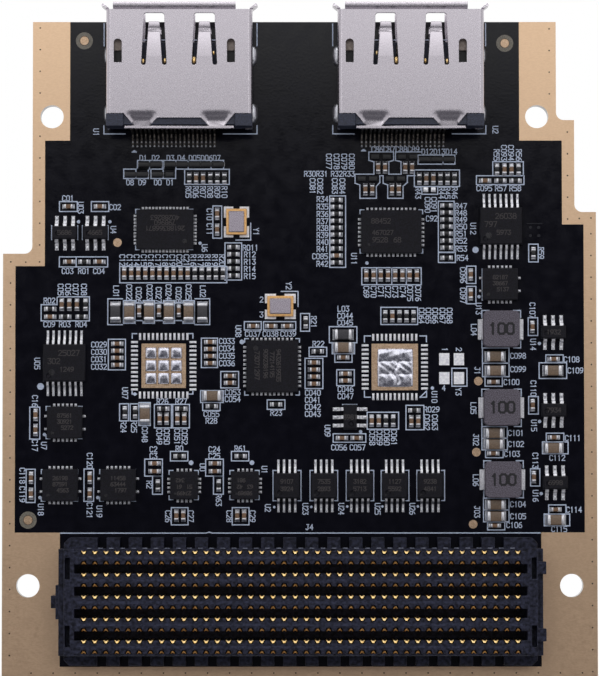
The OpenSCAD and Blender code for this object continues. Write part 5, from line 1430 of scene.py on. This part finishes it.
# %% Frames round groups
frames = [
    # top left
    (-27.96, 43.48, -25.89, 44.63), (-24.25, 43.48, -22.22, 44.63), (-27.96, 37.01, -22.34, 38.18),
    # left diodes
    (-18.89, 48.43, -15.99, 49.44), (-15.83, 48.43, -8.85, 49.44), (-20.49, 47.33, -17.62, 48.43),
    (-17.32, 47.33, -14.44, 48.43), (-13.39, 46.64, -8.19, 48.4),
    # left driver chip
    (-10.1, 40.36, -9.07, 44.12), (-8.69, 35.48, -6.75, 39.81), (-20.93, 35.16, -8.47, 37.06),
    # row of large capacitors
    (-20.49, 30.45, -19.14, 33.08), (-18.2, 30.45, -16.88, 33.08), (-15.83, 30.45, -14.55, 33.08),
    (-13.57, 30.45, -12.24, 33.08), (-19.14, 30.76, -18.2, 32.8), (-16.87, 30.76, -15.83, 32.8),
    (-14.55, 30.76, -13.57, 32.8),
    # left empty place
    (-22.24, 25.03, -20.25, 28.59), (-11.43, 25.29, -9.55, 28.71),
    # control chip
    (-6.44, 29.66, -4.47, 30.63), (-4.2, 29.66, -0.46, 30.63), (0.1, 29.52, 1.15, 31.57),
    (1.09, 26.58, 3.14, 27.64), (0.62, 22.84, 2.69, 26.36), (3.44, 28.17, 6.65, 30.04),
    (3.78, 26.89, 6.37, 28.17), (4.08, 25.9, 6.08, 26.89), (4.3, 23.18, 6.34, 25.03),
    (-3.78, 20.43, -1.72, 21.53),
    # behind the left empty place
    (-20.92, 19.11, -19.89, 21.08), (-19.69, 19.11, -18.7, 21.08), (-18.67, 18.57, -17.36, 21.22),
    (-16.88, 18.28, -14.9, 21.01), (-14.75, 18.28, -12.81, 21.01), (-9.17, 22.92, -7.1, 24.83),
    (-11.51, 21.23, -8.88, 22.61), (-11.27, 20.3, -9.25, 21.23),
    # small chip group
    (3.88, 16.61, 7.67, 17.59), (7.83, 18.13, 11.48, 20.09), (12.34, 18.06, 14.42, 20.89),
    # right empty place
    (9.44, 30.29, 13.72, 32.29), (17.68, 23.11, 19.43, 25.2),
    # right driver
    (7.23, 34.92, 14.14, 36.9),
    # right socket group
    (3.5, 36.95, 5.35, 45.29), (13.8, 49.0, 18.1, 50.07), (13.36, 46.38, 18.63, 48.32),
    (16.15, 38.72, 17.99, 44.67), (16.15, 37.51, 18.12, 38.68),
    # right translator group
    (22.51, 47.64, 26.07, 49.28), (20.6, 46.61, 26.14, 47.64), (26.66, 37.58, 27.76, 39.65),
    (19.43, 35.07, 20.5, 37.09), (19.43, 32.7, 20.5, 34.73),
    # coils
    (21.24, 25.79, 24.33, 27.56), (21.24, 24.22, 24.33, 25.79), (21.53, 23.11, 23.54, 24.23),
    (21.15, 17.07, 24.1, 18.41), (21.15, 15.71, 24.1, 17.07), (21.57, 14.81, 23.61, 15.68),
    (21.31, 8.75, 24.27, 10.09), (21.31, 7.38, 24.27, 8.75), (21.78, 6.44, 23.77, 7.34),
    # right column
    (26.57, 29, 27.68, 31.07), (28.61, 25.89, 30.62, 26.75), (27.82, 24, 31.02, 25.83),
    (26.59, 19.87, 27.71, 21.9), (28.62, 16.63, 30.67, 17.65), (28.18, 15.26, 31.15, 16.63),
    (26.78, 11.52, 27.86, 13.52), (28.87, 8.27, 30.87, 9.33), (28.34, 6.91, 31.31, 8.27),
    # lower left chips
    (-31.34, 16.99, -30.18, 20.7), (-31.74, 9.64, -30.7, 13.49), (-25.03, 9.77, -23.91, 13.52),
    (-17.99, 12.69, -15.94, 14.66), (-15.01, 14.45, -12.99, 15.55), (-17.08, 10.59, -15.94, 12.67),
    (-14.9, 7.04, -12.96, 9.03), (-10.92, 12.69, -8.87, 14.66), (-7.93, 14.45, -5.92, 15.55),
    (-10.01, 10.59, -8.87, 12.67), (-7.83, 7.04, -5.89, 9.03),
]
print("frames:", len(frames))

# %% [markdown]
# Chips have an angle at each corner instead of a frame: the table gives the rectangle and the length of
# the arms. Whatever is neither a frame nor a corner is a path from point to point, such as the ten
# brackets beside the small chips in the rear row, which are one shape and come from a loop.

# %% Corner marks and lines
corner_marks = [
    (-19.09, 39.02, -12.45, 43.72, 0.44), (-19.47, 22.21, -12.41, 29.24, 0.52),
    (-6.39, 22.09, -0.03, 28.65, 0.41), (7.03, 38.61, 14.32, 43.65, 0.44),
    (21.19, 27.56, 25.69, 31.92, 0.81), (21.15, 18.43, 25.73, 22.76, 0.81),
    (21.35, 10.16, 25.94, 14.45, 0.81), (-29.45, 17.04, -25.28, 20.77, 0.44),
    (-29.98, 9.8, -25.76, 13.43, 0.44), (-23.21, 9.8, -19.07, 13.43, 0.44),
    (-15.16, 9.96, -11.77, 13.34, 0.44), (-8.11, 9.96, -4.72, 13.34, 0.44),
]
# The arms' ends and the upright of each bracket, from left to right
BRACKETS = [(-2.75, -3.1), (-0.2, 0.14), (1.53, 1.19), (4.06, 4.4), (5.73, 5.39), (8.23, 8.58),
            (9.8, 9.45), (12.31, 12.66), (13.94, 13.59), (16.45, 16.8)]
BRACKET_FRONT = 13.34
BRACKET_REAR = 9.83


def uprights(front, rear, *places):
    """Upright lines side by side: one at each X, from the front to the rear."""
    return [[(x, front), (x, rear)] for x in places]


lines = []
for left, right in ((-22.81, -4.96), (3.87, 21.72)):
    lines += [*uprights(65.45, 62.87, left, right), [(left, 53.5), (left, 52.54), (left + 2.47, 52.54)],
              [(right - 3.92, 52.54), (right, 52.54), (right, 53.5)]]
lines += [
    # top left
    *uprights(41.82, 40.2, -28.86, -25.84, -25.28, -22.3), *uprights(38.18, 37.01, -26),
    # left block
    [(-28.21, 33.53), (-24.45, 33.53), (-24.45, 30.73), (-30.06, 30.73), (-30.06, 32.61), (-28.21, 32.61),
     (-28.21, 33.53)],
    # left diodes
    *uprights(49.44, 48.43, -17.48, -14.42, -12.98, -10.32), *uprights(48.43, 47.33, -19.07, -15.89),
    # left driver chip
    [(-7.41, 40.14), (-5.7, 40.14), (-5.7, 42.11)],
    # row of large capacitors
    [(-20.61, 33.3), (-22.31, 33.3), (-22.31, 30.28), (-20.61, 30.28)],
    [(-12.17, 33.3), (-10.46, 33.3), (-10.46, 30.28), (-12.17, 30.28)],
    # control chip
    [(-2.15, 34.15), (-0.19, 34.15), (-0.19, 32.4)],
    # small chip group
    [(4.97, 20.98), (6.63, 20.98)], [(4.97, 17.59), (6.63, 17.59)],
    # right empty place
    [(7.52, 28.28), (7.52, 28.96), (8.25, 28.96)], [(13.98, 28.96), (14.73, 28.96), (14.73, 28.28)],
    [(7.51, 22.55), (7.51, 21.84), (8.2, 21.84)],
    [(13.98, 21.84), (14.73, 21.84), (14.73, 22.55), (13.98, 21.84)],
    # right driver
    *uprights(36.9, 34.92, 8.96, 10.72, 12.41),
    # right socket group
    [(8.66, 47.87), (8.66, 49.28), (8.07, 49.44), (8.07, 50.43), (10.95, 50.43), (10.95, 49.44),
     (10.4, 49.28), (10.4, 47.83), (11.83, 47.83), (11.81, 49.28), (11.17, 49.44), (11.17, 50.43),
     (14.24, 50.43)],
    [(8.66, 47.83), (6.46, 47.83), (6.46, 46.76), (7.02, 46.58), (7.02, 45.01), (8.94, 45.01),
     (8.94, 46.41), (9.35, 46.86), (9.35, 47.65), (9.73, 47.65), (9.73, 46.76), (10.26, 46.58),
     (10.26, 45.01), (12.05, 45.01), (12.05, 46.41), (12.55, 46.86), (12.55, 47.65), (13.44, 47.65)],
    *uprights(50.07, 49, 16.71), [(14.24, 46.38), (14.24, 45.48), (16.08, 45.48), (16.08, 46.38)],
    # right translator group
    *uprights(36.74, 33.13, 21.24),
]
for arm, post in BRACKETS:
    lines.append([(arm, BRACKET_FRONT), (post, BRACKET_FRONT), (post, BRACKET_REAR), (arm, BRACKET_REAR)])
lines.append([(-27.77, 6.09), (-10.85, 6.09), (-10.5, 6.2), (-10.16, 6.09), (27.88, 6.09)])
# Two small arrows of three strokes, each stroke shorter than the one behind it
for x, y in ((-19.26, 50.42), (7.46, 50.55)):
    for half, ahead in ((0.24, 0), (0.14, 0.08), (0.04, 0.16)):
        lines.append([(x - half, y + ahead), (x + half, y + ahead)])
print("corner marks and lines:", len(corner_marks), len(lines))

# %% [markdown]
# Now the tables become strokes. Every letter has its own running number, frames and corner marks are
# turned into paths, and paths into strokes. White ink is matt and slightly uneven, and a little blue in
# this light. Letters and lines are two pieces, because their strokes differ in width and height.

# %% Print
running = {letter: 0 for letter in "CDJLRUY"}


def next_name(letter, length):
    """The next name of a letter: the letter and its running number, cut to the length. A name longer than
    four characters is several names of three on end. A figure stays as it is."""
    if letter not in running:
        return letter
    words = ""
    while len(words) < length:
        running[letter] += 1
        digits = (min(3, length - len(words)) if length > 4 else length) - 1
        words += letter
        if digits:
            words += str(running[letter] % 10 ** digits).zfill(digits)
    return words


printed = []
for letter, length, turned, x, y, *repeats in names:
    step_x, step_y, count = repeats or (0, 0, 1)
    for place in range(count):
        printed += text_bars(next_name(letter, length), x + place * step_x, y + place * step_y, turned)
for left, rear, right, front in frames:
    lines.append([(left, rear), (right, rear), (right, front), (left, front), (left, rear)])
for left, rear, right, front, arm in corner_marks:
    for x, way_x in ((left, arm), (right, -arm)):
        for y, way_y in ((rear, arm), (front, -arm)):
            lines.append([(x + way_x, y), (x, y), (x, y + way_y)])
outlines = [stroke for path in lines for stroke in zip(path[:-1], path[1:])]
ink = finish("white_ink", tone(176, 188, 210), tone(196, 207, 228), 0.25, (0.55, 0.75), bump=0.004,
             bump_grain=0.06)
bars_piece("print_letters", printed, 0.1, 0, 0.012, ink, "capacitor_ceramic")
bars_piece("print_lines", outlines, 0.13, 0, 0.01, ink, "capacitor_ceramic")

# %% [markdown]
# Small plated holes, called vias, run along the bare border a tenth of an inch apart and tie its two
# sides together. From above each is a dark dot, the shade in its hole. Cutting real holes would cost a
# ring of faces for each and show nothing more, so a via is a thin disc on the gold, with that shade
# painted into its colour. Four more lie under the mask and only show as grey.

# %% Vias of the border
def discs(name, spots, low, high, material, slot, around=14):
    """Flat closed discs. Each spot is X, Y and radius. The rim is a circle in even steps, drawn once at the
    lower and once at the upper height."""
    spots = np.array(spots, dtype=float)
    angle = np.linspace(0, 2 * np.pi, around, endpoint=False)
    ring = np.c_[np.cos(angle), np.sin(angle)]
    rims = np.concatenate([np.c_[ring, np.zeros(around)], np.c_[ring, np.ones(around)]])
    order = np.arange(around)
    wall = np.stack([order, np.roll(order, -1), np.roll(order, -1) + around, order + around], axis=-1)
    disc = (rims, [wall, order[None, ::-1], order[None] + around])
    at = np.c_[spots[:, :2], np.broadcast_to(low, len(spots))]
    size = np.c_[spots[:, 2], spots[:, 2], np.broadcast_to(np.subtract(high, low), len(spots))]
    return add_piece(name, repeated(disc, at, (1, 0), size), material, slot, smooth=False)


VIA_RADIUS = 0.095
VIA_STEP = 2.54
PLATING_TOP = float(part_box("top_ground_plating")[1][2]) / MM


def via_column(x, front, count):
    """A column of vias: its first one lies in front, and each next one a step behind."""
    return [(x, front - VIA_STEP * number) for number in range(count)]


vias = via_column(-30.25, 64.95, 4) + via_column(-30.25, 52.27, 6)
vias += [(-30.25, 37.6), (-31.86, 37.56), (-33.6, 37.6)] + via_column(-33.62, 35.13, 18)
vias += via_column(29.13, 64.84, 4) + via_column(31.21, 52.74, 5)
vias += [(32.56, 42.64), (33.93, 42.7)] + via_column(33.9, 40.86, 21)
vias += [(-33.65 + 2.552 * number, -10.08) for number in range(1, 27)]
print("vias of the border:", len(vias))
hole_dark = finish("hole_dark", tone(52, 38, 28), tone(84, 64, 48), 0.1, (0.6, 0.8))
# Painted shade: each disc's dark colour stands for the shade in a hole.
discs("border_vias", [(x, y, VIA_RADIUS) for x, y in vias], 0, PLATING_TOP + 0.003, hole_dark, "laminate", 10)
mask_grey = finish("mask_grey", tone(12, 13, 22), tone(20, 21, 31), 0.2, (0.3, 0.5), specular=0.3)
mask_vias = [(x, y, 0.18) for y in (41.61, 40.65) for x in (26.88, 27.83)]
discs("mask_vias", mask_vias, 0, 0.006, mask_grey, "laminate")
bars_piece("mask_line", [((26.5, 42.06), (28.2, 42.06))], 0.1, 0, 0.006, mask_grey, "laminate")

# %% [markdown]
# Three gold dots help the machine that places the parts to find the board. Round each dot the mask is left
# away, so a translucent ring of bare laminate shows. The dots are nodes of the CAD and stay as they are.
# A ring could be cut out of the mask. Here it is a pale disc with a smaller dark one on it, and both take
# their middle from the CAD's dot, because even a small shift would be seen.

# %% Ringed marks
ring_grey = finish("ring_grey", tone(92, 88, 80), tone(132, 126, 114), 0.12, (0.25, 0.4))
RING_RADIUS = 1.0
GAP_RADIUS = 0.57
point_low, point_high = solids_of("test_points")
points_at = (point_low + point_high)[:, :2] / 2
marks_at = []
for near in ((-25.12, 63.48), (23.92, 63.17), (-31.74, 7.6)):
    marks_at.append(points_at[np.abs(points_at - near).sum(axis=1).argmin()])
print("ringed marks at", np.round(marks_at, 2).tolist())
discs("fiducial_rings", [(x, y, RING_RADIUS) for x, y in marks_at], 0, 0.01, ring_grey, "laminate", 32)
discs("fiducial_gaps", [(x, y, GAP_RADIUS) for x, y in marks_at], 0, 0.014, hole_dark, "laminate", 24)

# %% [markdown]
# A white dot beside a chip shows where its first lead is. The dots differ in size, and they are discs of
# the same ink as the names. Two small pads behind the right socket carry a thin layer of solder and no
# part. They are low rounded blocks, as a dome would be too high for them.

# %% White dots and bare pads
REAR_Y = -10.85
# X, the distance in front of the board's rear edge, and radius
dots = [
    (-25.74, 53.13, 0.2), (-22.09, 53.13, 0.2), (-11.59, 50.62, 0.2), (7.83, 48.31, 0.2),
    (20.47, 49.84, 0.37), (-6.71, 39.12, 0.28), (-30.1, 33.95, 0.4), (-29.63, 28.37, 0.2),
    (-30.13, 21.06, 0.2), (-23.42, 21.06, 0.2), (-12.61, 25.09, 0.28), (-5.55, 25.09, 0.28),
    (27.85, 29.86, 0.2), (28.01, 21.49, 0.2), (27.86, 38.93, 0.2), (20.86, 44.38, 0.2),
    (-2.96, 19.94, 0.15), (1.34, 19.96, 0.15), (5.51, 20.01, 0.15), (9.58, 20.01, 0.15),
    (13.7, 20.01, 0.15), (7.07, 28.68, 0.2), (-19.16, 33.07, 0.2), (15.41, 33.74, 0.2)
]
discs("print_dots", [(x, y + REAR_Y, radius) for x, y, radius in dots], 0, 0.011, ink, "capacitor_ceramic")
PAD_SIZE = np.array([0.55, 0.58, 0.07])
pads = [(low, low + PAD_SIZE) for low in np.array([(14.42, 45.72, 0.0), (15.3, 45.72, 0.0)])]
block_piece("bare_pads", pads, 0.03, solder, "tinned")

# %% [markdown]
# The chips carry faint rows of figures, burnt in by a laser, and a small round mark at one corner. The
# figures are plain running numbers. Some chips lie on their side or upside down, and so do their figures,
# so a row could be typed for every chip. A table by kind is shorter: how many figures, where, turned by
# how many quarters and how high, and then the mark.

# %% Rows of figures
def figures(words, x, y, quarter, high):
    """Strokes of a word centred on X and Y. For each quarter that it is turned anticlockwise, X becomes
    minus Y, and Y becomes X."""
    bars = np.array(text_bars(words, 0, 0, FLAT, high, high * 0.62, high * 0.84))
    for _ in range(quarter % 4):
        bars = np.stack([-bars[..., 1], bars[..., 0]], axis=-1)
    return bars + (x, y)


# For each kind of chip: rows as figures, X and Y from its middle, quarters and height; then its mark
chip_rows = {
    "left_driver_chip": (
        [(8, 0, 1.35, 2, 0.5), (6, 0, 0.75, 2, 0.5), (11, 0, 0.1, 2, 0.5)], (2.3, -1.4, 0.26)),
    "right_driver_chip": (
        [(5, -1.2, 1.25, 0, 0.55), (6, -1.0, -0.1, 0, 0.5), (4, -1.3, -0.95, 0, 0.55),
         (2, 0.7, -0.95, 0, 0.55)], (-2.6, -1.5, 0.14)),
    "control_chip": (
        [(8, -1.75, 0.1, 3, 0.5), (9, -0.75, 0.3, 3, 0.45), (8, 0, 0.2, 3, 0.45),
         (10, 0.75, 0.1, 3, 0.45)], (-1.9, 2.1, 0.3)),
    "translator_chip": (
        [(5, 0.55, 1.15, 0, 0.6), (3, -1.2, 0.2, 0, 0.6), (4, 0.3, -0.75, 0, 0.5)], (-1.45, -1.1, 0.36)),
    "buffer_chip": (
        [(5, 0, -0.9, 2, 0.4), (2, 0.6, -0.15, 2, 0.4), (2, -0.6, -0.15, 2, 0.4), (3, -0.45, 0.6, 2, 0.4)],
        (-1.05, -0.95, 0.14)),
    "switch_chip": (
        [(5, 0, 0.8, 0, 0.42), (5, 0, 0.1, 0, 0.42), (4, 0.3, -0.6, 0, 0.42)], (-1.4, -1.2, 0.2)),
    "logic_chip": ([(4, 0, 0, 0, 0.5)], (0, 0, 0)),
    "regulator_chip": ([(4, 0, 0, 0, 0.5)], (0, 0, 0)),
    "memory_chip": ([(4, 0, 0.5, 0, 0.45), (4, 0, -0.35, 0, 0.45)], (-1.05, -1.05, 0.14))
}
print("kinds of chips:", len(chip_rows))

# %% [markdown]
# The figures are strokes like the print, only grey and sunk into the top of the chip, so that each bar
# stands out by a few thousandths. A bump in the shader would need a picture of them. The running number
# jumps by a fixed rule, which looks random and is the same on every run. The marks are discs of smoother
# plastic, as left by the pin that pushes the chip out of its mould.

# %% Figures on the chips
figure_ink = finish("laser_grey", tone(44, 41, 43), tone(66, 61, 62), 0.1, (0.6, 0.8))
dot_paint = finish("moulded_dot", tone(14, 14, 18), tone(30, 29, 34), 0.2, (0.25, 0.35))
figure_bars = []
figure_tops = []
marks = []
mark_tops = []
running_number = 1042
for chip in chips:
    low, high = np.array(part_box(chip)) / MM
    middle = (low + high) / 2
    chip_top = high[2]
    rows_here, mark = chip_rows[next(kind for kind in chip_rows if kind in chip)]
    for length, x, y, quarter, tall in rows_here:
        words = ""
        while len(words) < length:
            running_number = (running_number * 7 + 13) % 9973
            words += str(running_number)
        bars = figures(words[:length], middle[0] + x, middle[1] + y, quarter, tall)
        figure_bars.append(bars)
        figure_tops += [chip_top] * len(bars)
    x, y, radius = mark
    if radius:
        marks.append((middle[0] + x, middle[1] + y, radius))
        mark_tops.append(chip_top)
figure_tops = np.array(figure_tops)
mark_tops = np.array(mark_tops)
bars_piece("chip_figures", np.concatenate(figure_bars), 0.09, figure_tops - 0.01, figure_tops + 0.003,
           figure_ink, "chip_plastic")
discs("chip_marks", marks, mark_tops - 0.01, mark_tops + 0.002, dot_paint, "chip_plastic", 20)

# %% [markdown]
# The power coils show three large black figures each, here the plain number 100, stamped on the speckled
# powder. They are the same strokes as on the chips, three times as wide, because the stamp is coarse.

# %% Figures on the coils
coil_ink = finish("coil_ink", tone(12, 11, 15), tone(30, 28, 34), 0.2, (0.6, 0.8))
coil_boxes = np.array([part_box(name) for name in coils]) / MM
coil_top = coil_boxes[-1, 1, 2]
coil_bars = [figures("100", x, y, 0, 1.2) for x, y in coil_boxes.mean(axis=1)[:, :2]]
bars_piece("coil_figures", np.concatenate(coil_bars), 0.26, coil_top - 0.02, coil_top + 0.003,
           coil_ink, "coil_core")

# %% [markdown]
# The board, its gold border, the lands and the round test points are flat, and their CAD shapes are good
# as they are, so they only get a finish. Solder mask is a deep, glossy black with a blue cast and hardly
# any grain. The border's gold is very thin and pale, its marks drawn out to the sides. Small gold pads
# look duller. Lands have the matt tin from above.

# %% Finishes of the kept nodes
pad_gold = finish("pad_gold", tone(184, 154, 126), tone(212, 184, 156), 0.15, (0.3, 0.45), metal=1,
                  bump=0.004, bump_grain=0.06)
plating = finish("border_plating", tone(226, 192, 158), tone(232, 199, 165), 0.12, (0.3, 0.38), metal=1,
                 bump=0.0015, bump_grain=0.12, stretch=(0.4, 1, 1))
mask = finish("black_mask", tone(4, 4, 13), tone(7, 7, 18), 1.5, (0.12, 0.18), bump=0.003,
              bump_grain=0.3, specular=0.3)


def paint(name, material):
    """Gives a CAD node one finish, in the place of the plain one that it came with."""
    mesh = nodes[name].data
    mesh.materials.clear()
    mesh.materials.append(material)


for name, material in (("circuit_board", mask), ("top_ground_plating", plating),
                       ("under_ground_plating", plating), ("solder_lands", land_tin),
                       ("test_points", pad_gold), ("thermal_pads", pad_gold)):
    paint(name, material)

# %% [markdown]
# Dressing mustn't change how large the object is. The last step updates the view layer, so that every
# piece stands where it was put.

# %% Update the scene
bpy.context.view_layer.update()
